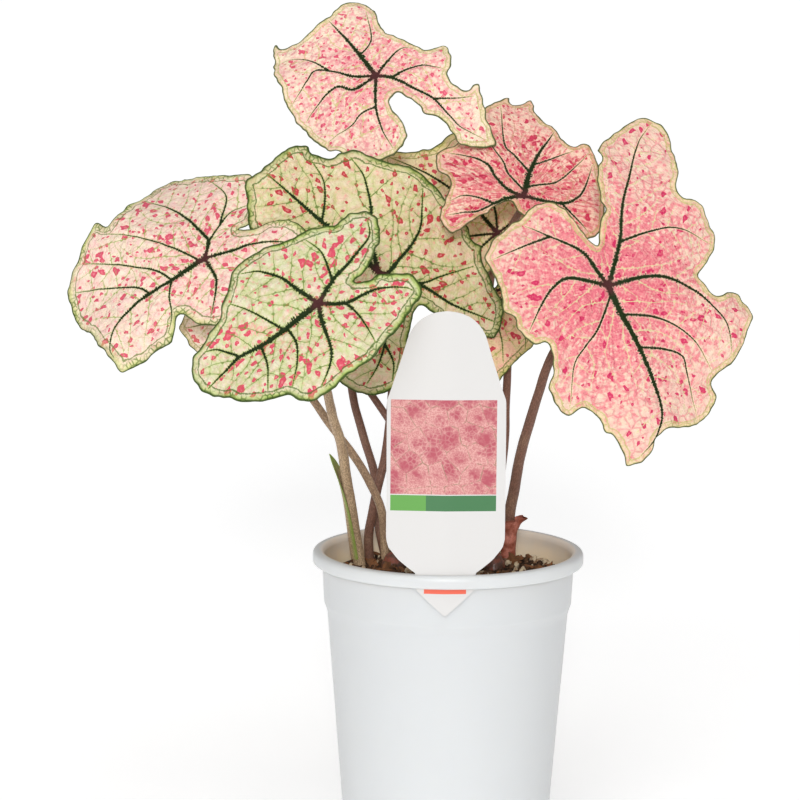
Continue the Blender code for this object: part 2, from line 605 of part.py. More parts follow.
def pot(finish):
    """A thin wall with a stepped collar and a rolled rim, turned from one profile."""
    rim_low = POT_HEIGHT - RIM_DEPTH
    collar_low = STEP_HEIGHT + 4
    inner = [
        (0, FLOOR),
        (BASE_RADIUS - 3.2, FLOOR),
        (BASE_RADIUS - 1.3, FLOOR + 1.8),
        (STEP_RADIUS - WALL, STEP_HEIGHT),
        (wall_radius(collar_low) - WALL, collar_low + 0.4),
        (COLLAR_RADIUS - WALL, rim_low),
        (COLLAR_RADIUS - WALL, POT_HEIGHT - 2.2),
        (COLLAR_RADIUS - WALL + 0.5, POT_HEIGHT - 0.9),
    ]
    crest = [
        (COLLAR_RADIUS + 0.2, POT_HEIGHT - 0.2),
        (RIM_RADIUS - 2, POT_HEIGHT),
        (RIM_RADIUS - 0.6, POT_HEIGHT - 0.5),
        (RIM_RADIUS, POT_HEIGHT - 1.8),
        (RIM_RADIUS - 0.1, rim_low + 0.7),
        (RIM_RADIUS - 0.5, rim_low),
    ]
    hollow = [
        (RIM_RADIUS - 1.1, rim_low),
        (RIM_RADIUS - 1.1, POT_HEIGHT - 1.8),
        (COLLAR_RADIUS + 0.4, POT_HEIGHT - 1.5),
        (COLLAR_RADIUS, POT_HEIGHT - 2.2),
    ]
    outer = [
        (COLLAR_RADIUS, rim_low),
        (wall_radius(collar_low), collar_low),
        (wall_radius(collar_low) - 0.5, collar_low - 1.2),
        (STEP_RADIUS + 0.1, STEP_HEIGHT + 0.6),
        (STEP_RADIUS - 0.1, STEP_HEIGHT - 0.6),
        (wall_radius(2.6), 2.6),
        (BASE_RADIUS - 0.5, 0.8),
        (BASE_RADIUS - 2.2, 0),
        (0, 0),
    ]
    made = turned("pot", inner + crest + hollow + outer, POT_SIDES, finish=finish)
    cut(made, label_slot())
    for index in range(DRAIN_HOLES):
        angle = 2 * math.pi * (index + 0.5) / DRAIN_HOLES
        middle = (DRAIN_CIRCLE * math.cos(angle), DRAIN_CIRCLE * math.sin(angle))
        profile = [(0, FLOOR + 1), (DRAIN_RADIUS, FLOOR + 1), (DRAIN_RADIUS, -1), (0, -1)]
        cut(made, turned(f"drain_{index}", profile, 12, middle))
    return made


def label_depth(x):
    """The label's middle plane, folded along its centre line so that its sides lie further back."""
    return LABEL_FRONT + LABEL_FOLD * abs(x)


def label_slot():
    """A cutter through the top of the rim, as wide as the label's stem and its clearance."""
    half = LABEL_THICKNESS / 2 + CLEARANCE
    edge = SLOT_HALF_WIDTH
    plan = [(-edge, -half), (0, -half), (edge, -half), (edge, half), (0, half), (-edge, half)]
    points = []
    for height in (POT_HEIGHT - 2.6, POT_HEIGHT + 2):
        points += [(LABEL_MIDDLE + x, label_depth(x) + y, height) for x, y in plan]
    walls = [(i, (i + 1) % 6, (i + 1) % 6 + 6, i + 6) for i in range(6)]
    caps = [(1, 0, 5, 4), (2, 1, 4, 3), (6, 7, 10, 11), (7, 8, 9, 10)]
    return add_object("label_slot", mesh_of("label_slot", points, walls + caps))


def label(finish):
    """A plant label: a domed board on a stem that narrows to a point below the rim."""
    right = [
        (0, 231), (5, 230.2), (9.5, 228.2), (13, 225), (15.4, 221), (18.4, 211), (22.6, 198.2),
        (23.8, 195), (23.9, 185), (23.9, 165), (23.9, 146), (23.9, 138.5), (23, 135), (19, 130),
        (15, 126.7), (12.1, 124.6), (12.1, 121), (11.8, 117.8), (6, 112), (0, 106.7),
    ]
    left = [(-x, z) for x, z in reversed(right[1:-1])]
    outline = [Vector(point) for point in right[::-1] + left[::-1]]
    crease = spaced([Vector((0, 107.8)), Vector((0, 229.8))], 12)

    def placed(x, z, side):
        return Vector((LABEL_MIDDLE + x, label_depth(x) + side * LABEL_THICKNESS / 2, z))

    mesh = sheet_mesh(
        "label", outline, [crease], 0, lambda x, z: placed(x, z, -1), lambda x, z: placed(x, z, 1)
    )
    return add_object("label", mesh, finish)


def soil_height(x, y):
    """The soil's top, a low mound with lumps."""
    away = math.hypot(x, y) / COLLAR_RADIUS
    lumps = SOIL_LUMPS * noise.noise(Vector((x, y, 0)) / LUMP_SIZE)
    return SOIL_EDGE + SOIL_MOUND * (1 - away**2) + lumps


def soil(finish):
    """A filled mass inside the pot, with plain holes for the stalks, the buds and the tubers."""
    gap = CLEARANCE
    wall = [
        (BASE_RADIUS - 3.2 - gap, FLOOR + gap),
        (BASE_RADIUS - 1.4 - gap, FLOOR + 2.0),
        (STEP_RADIUS - WALL - gap - 0.05, STEP_HEIGHT - 0.1),
        (wall_radius(STEP_HEIGHT + 4) - WALL - gap, STEP_HEIGHT + 4.5),
        (wall_radius(SOIL_EDGE) - WALL - gap, SOIL_EDGE - 1),
    ]
    points = [(0, 0, FLOOR + gap)]
    for radius, height in wall:
        for side in range(POT_SIDES):
            angle = 2 * math.pi * side / POT_SIDES
            points.append((radius * math.cos(angle), radius * math.sin(angle), height))
    for share in reversed(SOIL_RINGS):
        radius = (wall[-1][0] - 0.3) * share
        for side in range(POT_SIDES):
            angle = 2 * math.pi * side / POT_SIDES
            x, y = radius * math.cos(angle), radius * math.sin(angle)
            points.append((x, y, soil_height(x, y)))
    points.append((0, 0, soil_height(0, 0)))
    rings = len(wall) + len(SOIL_RINGS)
    faces = []
    for side in range(POT_SIDES):
        ahead = (side + 1) % POT_SIDES
        faces.append((0, 1 + ahead, 1 + side))
        for ring in range(rings - 1):
            low, high = 1 + ring * POT_SIDES, 1 + (ring + 1) * POT_SIDES
            faces.append((low + side, low + ahead, high + ahead))
            faces.append((low + side, high + ahead, high + side))
        top = 1 + (rings - 1) * POT_SIDES
        faces.append((top + side, top + ahead, len(points) - 1))
    made = add_object("soil", mesh_of("soil", points, faces), finish)
    for name, form in TUBERS.items():
        cut(made, turned(f"tuber_hole_{name}", tuber_profile(CLEARANCE), TUBER_SIDES, form.middle))
        cut(made, bud(f"bud_hole_{name}", form, CLEARANCE))
    for name, leaf in LEAVES.items():
        cut(made, stalk_hole(f"stalk_hole_{name}", leaf))
    return made


def main():
    clear_scene()
    pot(WHITE)
    soil(BROWN_SOIL)
    label(WHITE)
    for name, form in TUBERS.items():
        tuber(f"tuber_{name}", form, TUBER_SKIN)
    for name, leaf in LEAVES.items():
        stalk(f"stalk_{name}", leaf, STALK_SKIN)
        leaf_blade(f"leaf_{name}", leaf, BLADE_COLOURS.get(name, CREAM_PINK))
    sheath("sheath_front", SHEATHS["front"], SHEATH_GREEN)
    sheath("sheath_right", SHEATHS["right"], SHEATH_RED)


main()
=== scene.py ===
"""Dresses the potted caladium: waved leaf blades with their veins, net, flecks and green margins,
speckled stalks, sheaths and buds, loose potting soil, the moulded pot and the plain plant label.

Sizes are in millimetres where a name or description doesn't say otherwise, and MM turns them into
Blender's metres. The leaves' outlines, veins and planes are those of the solid model.
"""

import math
from collections import namedtuple

import bpy
import numpy as np
from bpy.props import FloatProperty, FloatVectorProperty, IntProperty, PointerProperty
from bpy.types import Operator, Panel, PropertyGroup
from mathutils import Matrix, Vector, noise
from mathutils.geometry import delaunay_2d_cdt
from mathutils.kdtree import KDTree


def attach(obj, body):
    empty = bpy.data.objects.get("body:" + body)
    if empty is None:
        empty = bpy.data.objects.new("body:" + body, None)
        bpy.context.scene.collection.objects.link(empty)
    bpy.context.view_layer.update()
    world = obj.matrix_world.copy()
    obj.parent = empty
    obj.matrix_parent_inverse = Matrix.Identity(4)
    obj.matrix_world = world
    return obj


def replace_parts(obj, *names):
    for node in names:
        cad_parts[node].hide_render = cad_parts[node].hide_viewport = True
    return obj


bl_info = {
    "name": "Potted Caladium",
    "version": (1, 0, 0),
    "blender": (4, 5, 0),
    "location": "3D View > Sidebar > Caladium",
    "description": "Makes the detailed leaves, stalks, soil, pot and label of a potted caladium",
    "category": "Add Mesh",
}

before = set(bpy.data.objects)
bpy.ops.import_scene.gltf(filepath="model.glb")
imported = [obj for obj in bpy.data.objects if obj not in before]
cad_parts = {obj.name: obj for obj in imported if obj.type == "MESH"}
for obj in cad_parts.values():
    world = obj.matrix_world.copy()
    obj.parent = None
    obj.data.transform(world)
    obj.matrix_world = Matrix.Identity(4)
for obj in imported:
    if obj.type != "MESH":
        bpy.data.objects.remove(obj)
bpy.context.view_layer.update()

MM = 0.001

# Pot, as in the solid model
POT_HEIGHT = 124.0
RIM_RADIUS = 57.0
RIM_DEPTH = 5.5
COLLAR_RADIUS = 52.95
STEP_HEIGHT = 97.5
STEP_RADIUS = 50.75
BASE_RADIUS = 42.9
RIM_LOW = POT_HEIGHT - RIM_DEPTH
COLLAR_LOW = STEP_HEIGHT + 4
WALL = 1.15
WALL_SLOPE = 0.052
FLOOR = 1.6
DRAIN_HOLES = 6
DRAIN_CIRCLE = 32.0
DRAIN_RADIUS = 4.0
SOIL_EDGE = 112.0
SOIL_MOUND = 3.6
SOIL_LUMPS = 1.2
LUMP_SIZE = 11.0
LABEL_MIDDLE = -2.0
LABEL_FRONT = -54.1
LABEL_FOLD = 0.075
LABEL_HALF = 0.3
SLOT_HALF_WIDTH = 12.5
CLEARANCE = 0.35

# Stalks and tubers, as in the solid model
BLADE = 0.9
RIB = 0.9
STALK_NECK = 1.5
NECK_LENGTH = 12.0
FOOT_TILT = 0.3
CROWN_HEIGHT = 104.0
CROWN_RADIUS = 12.0
TUBER_RADIUS = 15.5
TUBER_DEPTH = 24.0

# Tubers: the rings of points round the body and round the bud, and the bud's scales
TUBER_RINGS = 14
BUD_RINGS = 29
BUD_SCALES = 5

# Thin veins: the length of each step that they grow by, how far they end from the edge, and how near
# to another vein they run into it
BRANCH_STRIDE = 1.1
BRANCH_MARGIN = 3.3
BRANCH_JOINS = 1.3

# Soil: how far the loose bits stay from the pot's wall and from the stalks, and their different shapes
WALL_ROOM = 2.2
STALK_ROOM = 3.2
LUMP_KINDS = 7

# The label's colour fields: where each starts and ends across the label, then where it does upwards
PANEL = (-22.3, 20.2, 156.9, 195.2)
BAND = (-22.3, 20.2, 150.1, 156.5)
LIGHT_BAND = (-22.3, -8.0, 150.1, 156.5)
STRIP = (-8.5, 8.5, 116.2, 118.0)

# The stage. Each light: where it shines from, its strength and the degrees that it spreads.
FLOOR_HALF = 60000
CAMERA = (-20.67, -1200, 366)
CAMERA_DOWN = 0.148
CAMERA_ROLL = 0.007
LIGHTS = {
    "key": ((-250, -1000, 450), 0.8, 45),
    "front": ((-20, -1200, 366), 1.1, 8),
    "top": ((0, -350, 1000), 0.6, 45),
}

Leaf = namedtuple(
    "Leaf", "junction turn lean spin droop fold wave foot stalk outline veins twist", defaults=(0.0,)
)
# junction: where the stalk meets the blade. turn, lean and spin: degrees that the upper face turns to
# the right, leans up, and that the midrib swings from straight down. droop: how far the tip, the back
# lobes and the sides bend back at 50, 40 and 40 from the junction. fold: rise beside the midrib.
# wave: height, count and phase of the waves round the margin. foot: the stalk's radius in the soil.
# stalk: where it leaves the tuber, then the places that it passes on its way to the junction.
# outline and veins: (across, along the midrib) from the junction. twist: how far the back lobes turn
# out of the plane, one back and the other forward.

LEAVES = {
    "far_left": Leaf(
        junction=(-103, 11, 245), turn=-22, lean=35, spin=-22,
        droop=(7, 5, 5), fold=2.0, wave=(2.0, 5, 0.6), foot=1.9,
        stalk=[(-26, 21), (-27, 19, 126), (-28, 16, 137), (-31, 14, 145), (-37, 11, 157),
               (-43, 9, 166), (-50, 8, 175), (-56, 8, 184), (-69, 12, 201), (-84, 18, 221)],
        outline=[(5, 59), (13, 57), (23, 53), (33, 50), (45, 47), (53, 41), (58, 37), (60, 30),
                 (61, 21), (63, 13), (63, 7), (61, 5), (54, 5), (56, -4), (57, -11), (56, -19),
                 (58, -26), (51, -33), (35, -37), (21, -40), (11, -44), (3, -41), (-5, -33), (-9, -23),
                 (-5, -18), (-11, -21), (-16, -27), (-21, -30), (-31, -31), (-37, -27), (-39, -17),
                 (-37, -4), (-35, 9), (-29, 20), (-20, 26), (-10, 26), (-7, 26), (-6, 28), (-9, 36),
                 (-9, 39), (-2, 51), (2, 56)],
        veins=[[(0, 0), (7, 15), (13, 24), (18, 35), (19, 44), (16, 52), (11, 55)],
               [(0, 0), (3, -7), (7, -9), (21, -13), (34, -15), (46, -15)],
               [(3, -7), (4, -16), (4, -24), (2, -28)],
               [(4, -16), (11, -29), (21, -33)],
               [(1, 2), (11, 2), (25, 3), (39, 5), (51, 8)],
               [(7, 15), (15, 14), (27, 16), (47, 21)],
               [(13, 24), (21, 24), (34, 28), (50, 34)],
               [(0, 0), (-10, 5), (-13, 8), (-16, 13), (-19, 21)],
               [(0, 0), (-10, -8), (-19, -16), (-31, -22)],
               [(7, 15), (3, 22), (-3, 29), (-5, 35)]],
        twist=8.0),
    "upper_middle": Leaf(
        junction=(-30, 16, 239), turn=10, lean=6, spin=-132,
        droop=(5, 6, 4), fold=2.0, wave=(2.2, 5, 2.0), foot=2.1,
        stalk=[(-32, 26), (-34, 24, 123), (-32, 23, 135), (-30, 23, 146), (-27, 24, 158),
               (-25, 26, 175), (-24, 29, 196), (-26, 31, 217)],
        outline=[(0, 65), (13, 64), (21, 57), (20, 53), (23, 47), (28, 45), (33, 41), (37, 30),
                 (41, 23), (44, 11), (43, -1), (42, -9), (41, -17), (38, -21), (38, -27), (34, -31),
                 (29, -43), (27, -51), (23, -55), (17, -58), (12, -57), (6, -45), (3, -33), (1, -23),
                 (-9, -27), (-19, -34), (-29, -39), (-36, -37), (-44, -29), (-45, -20), (-47, -10),
                 (-46, 3), (-42, 19), (-36, 33), (-30, 45), (-23, 52), (-17, 59), (-9, 67)],
        veins=[[(0, 0), (0, 16), (0, 32), (0, 49), (0, 62)],
               [(0, 0), (2, -3), (10, -3), (18, -3), (26, -1), (33, 4), (39, 9)],
               [(0, 32), (8, 37), (14, 43), (17, 52)],
               [(0, 0), (9, 13), (17, 19), (23, 26), (27, 32), (29, 40)],
               [(0, 0), (8, -18), (11, -33), (17, -49)],
               [(4, -9), (9, -17), (16, -21), (24, -26)],
               [(0, 0), (-9, -13), (-21, -22), (-29, -26), (-38, -28)],
               [(-21, -22), (-24, -30), (-30, -35)],
               [(0, 16), (-9, 25), (-18, 34), (-24, 46)],
               [(0, 8), (-15, 9), (-32, 6), (-42, 3)]]),
    "front": Leaf(
        junction=(-53, -64, 235), turn=-8, lean=30, spin=-48,
        droop=(8, 4, 4), fold=2.5, wave=(1.8, 5, 4.0), foot=2.6,
        stalk=[(-36, 18), (-39, 15, 124), (-41, 8, 140), (-43, 0, 154), (-45, -12, 171),
               (-48, -22, 182), (-50, -32, 194), (-53, -44, 210), (-54, -51, 222)],
        outline=[(5, 57), (13, 56), (18, 51), (20, 43), (22, 34), (28, 26), (35, 17), (36, 10), (35, 3),
                 (30, -9), (28, -18), (24, -26), (25, -33), (23, -39), (20, -41), (15, -41), (6, -35),
                 (-1, -23), (-2, -17), (-5, -21), (-6, -27), (-14, -36), (-22, -35), (-26, -25),
                 (-29, -19), (-31, -10), (-33, -1), (-32, 6), (-32, 22), (-28, 30), (-22, 34),
                 (-16, 45), (-6, 51), (1, 55)],
        veins=[[(0, 0), (0, 14), (1, 25), (4, 37), (4, 45), (4, 54)],
               [(0, 0), (4, -10), (7, -22), (11, -33), (17, -37)],
               [(4, -10), (16, -14), (23, -13)],
               [(0, 0), (-7, -8), (-10, -21), (-16, -30), (-19, -32)],
               [(-7, -8), (-14, -9), (-23, -8), (-28, -7)],
               [(0, 0), (10, 3), (19, 5), (27, 10), (30, 14)],
               [(0, 17), (8, 20), (16, 23), (23, 27)],
               [(4, 37), (8, 39), (13, 42), (16, 46)],
               [(0, 0), (-8, 4), (-19, 8), (-24, 13), (-28, 20)],
               [(0, 16), (-8, 17), (-15, 22), (-21, 29)],
               [(2, 28), (-7, 31), (-14, 36)]]),
    "low_right": Leaf(
        junction=(19, 42, 228), turn=10, lean=10, spin=-16,
        droop=(5, 5, 4), fold=2.0, wave=(1.5, 5, 1.0), foot=1.6,
        stalk=[(16, 18), (14, 22, 132), (15, 29, 148), (16, 38, 173), (17, 48, 202)],
        outline=[(-1, 54), (-7, 47), (-13, 37), (-18, 27), (-23, 18), (-27, 8), (-28, -2), (-24, -10),
                 (-16, -14), (-7, -13), (-2, -7), (1, -2), (7, -6), (15, -9), (22, -5), (24, 4),
                 (23, 15), (21, 28), (15, 40), (8, 49)],
        veins=[[(0, 0), (0, 15), (0, 31), (0, 48)],
               [(0, 0), (-10, 6), (-18, 14), (-20, 20)],
               [(0, 8), (-8, 17), (-12, 27)],
               [(0, 23), (-5, 31), (-7, 40)],
               [(0, 0), (-8, -5), (-19, -6)],
               [(0, 0), (9, 6), (15, 16), (16, 26)],
               [(0, 15), (6, 22), (10, 34)],
               [(0, 0), (9, -1), (17, 1)]]),
    "upper_right": Leaf(
        junction=(31, 24, 271), turn=8, lean=42, spin=154,
        droop=(4, 5, 4), fold=1.5, wave=(2.2, 6, 0.0), foot=2.0,
        stalk=[(20, 25), (22, 27, 131), (23, 31, 150), (25, 38, 167), (25, 43, 175),
               (26, 51, 192), (26, 54, 215), (26, 50, 237), (26, 39, 256)],
        outline=[(0, 43), (-7, 47), (-12, 52), (-15, 57), (-17, 57), (-22, 50), (-25, 53), (-29, 46),
                 (-32, 40), (-34, 30), (-36, 17), (-42, 10), (-41, 3), (-39, -1), (-31, -8), (-30, -20),
                 (-29, -25), (-21, -30), (-16, -23), (-11, -16), (-5, -6), (1, -9), (8, -13), (17, -15),
                 (26, -14), (32, -9), (36, -1), (34, 8), (29, 21), (24, 31), (18, 38), (15, 39),
                 (10, 35), (5, 37)],
        veins=[[(0, 0), (-2, 13), (-2, 25), (-1, 33), (0, 41)],
               [(0, 0), (-7, 0), (-14, 4), (-19, 9), (-25, 11), (-32, 11)],
               [(-1, 3), (-10, 8), (-14, 13), (-20, 18)],
               [(-2, 13), (-11, 19), (-17, 23), (-23, 37)],
               [(0, 0), (-7, -5), (-10, -9), (-15, -15), (-22, -19)],
               [(-10, -9), (-16, -9), (-24, -11), (-28, -15)],
               [(0, 0), (9, 1), (16, 3), (20, 7), (22, 15), (21, 30)],
               [(16, 3), (20, 1), (26, -2)],
               [(-1, 5), (8, 11), (12, 17), (15, 26)],
               [(-2, 18), (4, 24), (10, 31)]]),
    "right": Leaf(
        junction=(64, -22, 238), turn=14, lean=16, spin=2,
        droop=(5, 5, 5), fold=2.5, wave=(2.0, 6, 2.5), foot=2.7,
        stalk=[(26, 16), (26, 17, 133), (28, 14, 146), (30, 10, 161), (34, 5, 178), (38, 0, 193),
               (41, -4, 204), (48, -8, 218), (56, -10, 229)],
        outline=[(-2, 74), (-1, 69), (3, 61), (6, 59), (9, 53), (14, 49), (20, 51), (25, 47), (29, 40),
                 (27, 34), (28, 23), (34, 22), (39, 16), (40, 10), (44, 6), (45, -2), (48, -10),
                 (50, -16), (47, -21), (41, -26), (34, -31), (25, -37), (19, -37), (13, -32), (8, -24),
                 (3, -17), (0, -28), (-2, -32), (-1, -37), (-2, -49), (-5, -55), (-4, -59), (-13, -66),
                 (-23, -72), (-30, -74), (-35, -72), (-39, -67), (-39, -50), (-36, -41), (-38, -36),
                 (-44, -34), (-48, -28), (-51, -20), (-50, -14), (-46, -8), (-41, -3), (-44, 2),
                 (-48, 5), (-58, 4), (-62, 9), (-64, 15), (-62, 21), (-57, 29), (-52, 35), (-45, 39),
                 (-44, 42), (-46, 47), (-43, 54), (-37, 58), (-27, 60), (-21, 60), (-16, 63),
                 (-13, 69), (-8, 73)],
        veins=[[(0, 0), (-4, 11), (-9, 22), (-14, 35), (-18, 48), (-18, 56), (-14, 64), (-8, 70)],
               [(0, 0), (-7, -18), (-11, -34), (-17, -47), (-24, -61), (-29, -67)],
               [(-7, -18), (-17, -21), (-28, -23), (-36, -22), (-45, -18)],
               [(0, 0), (-16, -3), (-27, -2), (-37, 3), (-44, 9), (-51, 18), (-52, 28)],
               [(-5, 12), (-19, 14), (-29, 19), (-37, 26), (-43, 36)],
               [(-11, 26), (-22, 27), (-30, 30), (-32, 37), (-35, 50)],
               [(0, 0), (4, -6), (10, -15), (22, -22), (31, -27)],
               [(22, -22), (32, -19), (44, -15)],
               [(0, 0), (16, -4), (23, -1), (28, 5), (34, 15)],
               [(-1, 3), (6, 17), (12, 24), (17, 31), (19, 44)]]),
    "top": Leaf(
        junction=(-32, 52, 320), turn=-10, lean=36, spin=-139,
        droop=(7, 5, 4), fold=1.5, wave=(2.2, 6, 1.2), foot=1.9,
        stalk=[(-24, 28), (-30, 30, 130), (-31, 31, 149), (-35, 31, 162), (-38, 31, 173),
               (-41, 32, 184), (-44, 36, 212), (-45, 44, 246), (-43, 54, 275), (-38, 62, 300)],
        outline=[(1, 41), (7, 42), (12, 43), (18, 41), (20, 36), (20, 30), (16, 18), (17, 13), (22, 3),
                 (26, -3), (32, -4), (33, -7), (29, -16), (24, -20), (25, -26), (27, -29), (33, -30),
                 (29, -39), (26, -48), (25, -52), (22, -55), (13, -51), (9, -47), (10, -39), (9, -32),
                 (5, -29), (5, -22), (3, -14), (-3, -15), (-4, -26), (-5, -31), (-9, -35), (-13, -36),
                 (-22, -34), (-31, -30), (-34, -21), (-37, -18), (-39, -8), (-39, 4), (-38, 16),
                 (-36, 22), (-34, 30), (-28, 42), (-23, 48), (-21, 43), (-10, 40)],
        veins=[[(0, 0), (1, 20), (1, 32), (1, 39)],
               [(0, 0), (13, 4), (20, 3)],
               [(0, 0), (5, -5), (11, -6), (19, -9), (25, -16)],
               [(0, 0), (5, -6), (9, -15), (13, -24), (14, -34), (15, -41), (20, -50)],
               [(13, -24), (20, -29), (26, -32)],
               [(0, 0), (-9, -13), (-13, -23), (-14, -29)],
               [(-9, -13), (-16, -12), (-22, -14), (-29, -14)],
               [(0, 0), (-8, 6), (-14, 15), (-19, 20), (-25, 17), (-32, 14)],
               [(-14, 15), (-18, 29), (-26, 36)],
               [(0, 0), (-11, 0), (-16, 6), (-23, 6), (-30, 4), (-36, 2)],
               [(0, 13), (9, 17), (15, 29)]]),
    "back": Leaf(
        junction=(21, 57, 252), turn=-6, lean=20, spin=-124,
        droop=(5, 5, 4), fold=1.5, wave=(1.8, 5, 3.0), foot=1.8,
        stalk=[(14, 25), (11, 32, 130), (12, 42, 150), (14, 54, 179), (17, 61, 209),
               (19, 66, 233)],
        outline=[(1, 65), (8, 57), (13, 52), (17, 48), (23, 46), (28, 43), (33, 36), (36, 28),
                 (37, 19), (36, 9), (31, -3), (23, -14), (14, -23), (4, -25), (-4, -21), (-5, -12),
                 (-2, -4), (-11, -7), (-22, -8), (-30, -1), (-33, 11), (-29, 24), (-23, 36), (-16, 46),
                 (-9, 56)],
        veins=[[(0, 0), (4, 17), (5, 40), (2, 61)],
               [(0, 0), (8, 7), (16, 19), (24, 33)],
               [(0, 0), (12, -3), (24, 0), (31, 8)],
               [(0, 0), (5, -11), (9, -19)],
               [(4, 17), (9, 30), (16, 43)],
               [(4, 17), (-3, 26), (-8, 39), (-10, 50)],
               [(0, 0), (-6, 7), (-15, 17), (-23, 30)],
               [(0, 0), (-10, 2), (-22, 1)]]),
    "low_left": Leaf(
        junction=(-82, 24, 219), turn=-20, lean=18, spin=-77,
        droop=(3, 3, 3), fold=1.0, wave=(1.0, 5, 0.0), foot=1.6,
        stalk=[(13, 11), (3, 14, 134), (-8, 20, 150), (-18, 27, 163), (-27, 32, 176),
               (-32, 34, 183), (-44, 38, 198), (-62, 38, 212)],
        outline=[(1, 36), (-4, 34), (-9, 31), (-13, 25), (-18, 15), (-20, 4), (-20, -7), (-15, -14),
                 (-8, -14), (-4, -7), (-1, -3), (3, -8), (6, -14), (13, -14), (18, -7), (21, 3),
                 (21, 14), (18, 24), (12, 31), (6, 34)],
        veins=[[(0, 0), (1, 12), (1, 24), (1, 33)],
               [(1, 12), (-5, 19), (-8, 27)],
               [(1, 12), (8, 18), (14, 25)],
               [(0, 0), (-8, 4), (-15, 9)],
               [(0, 0), (-9, -6), (-15, -9)],
               [(0, 0), (10, 3), (17, 7)],
               [(0, 0), (6, -5), (11, -9)]]),
}

Tuber = namedtuple("Tuber", "middle bud bud_radius bud_top")
TUBERS = {
    "left": Tuber(middle=(-27, 19), bud=(-22.5, 8), bud_radius=8.0, bud_top=121),
    "right": Tuber(middle=(19, 18), bud=(19.5, 5.5), bud_radius=6.5, bud_top=122),
}

Sheath = namedtuple("Sheath", "leaf start length facing spread flare taper")
# start and length run along the stalk. facing: the way its middle looks. spread: half its angle.
# flare: how far the tip stands off the stalk. taper: the higher, the blunter the tip.
BLUNT_TAPER = 4
SHEATHS = {
    "front": Sheath("front", 12.0, 54.0, (-0.95, 0.3, 0.0), 105, 3.5, 2.2),
    "right": Sheath("right", 12.0, 18.0, (0.9, -0.45, 0.0), 80, 3.5, 6.0),
}

# How brown each stalk is at its foot. The others are browner.
STALK_TONES = {"front": 0.0, "far_left": 0.3, "right": 0.75}
OTHER_STALKS = 0.85

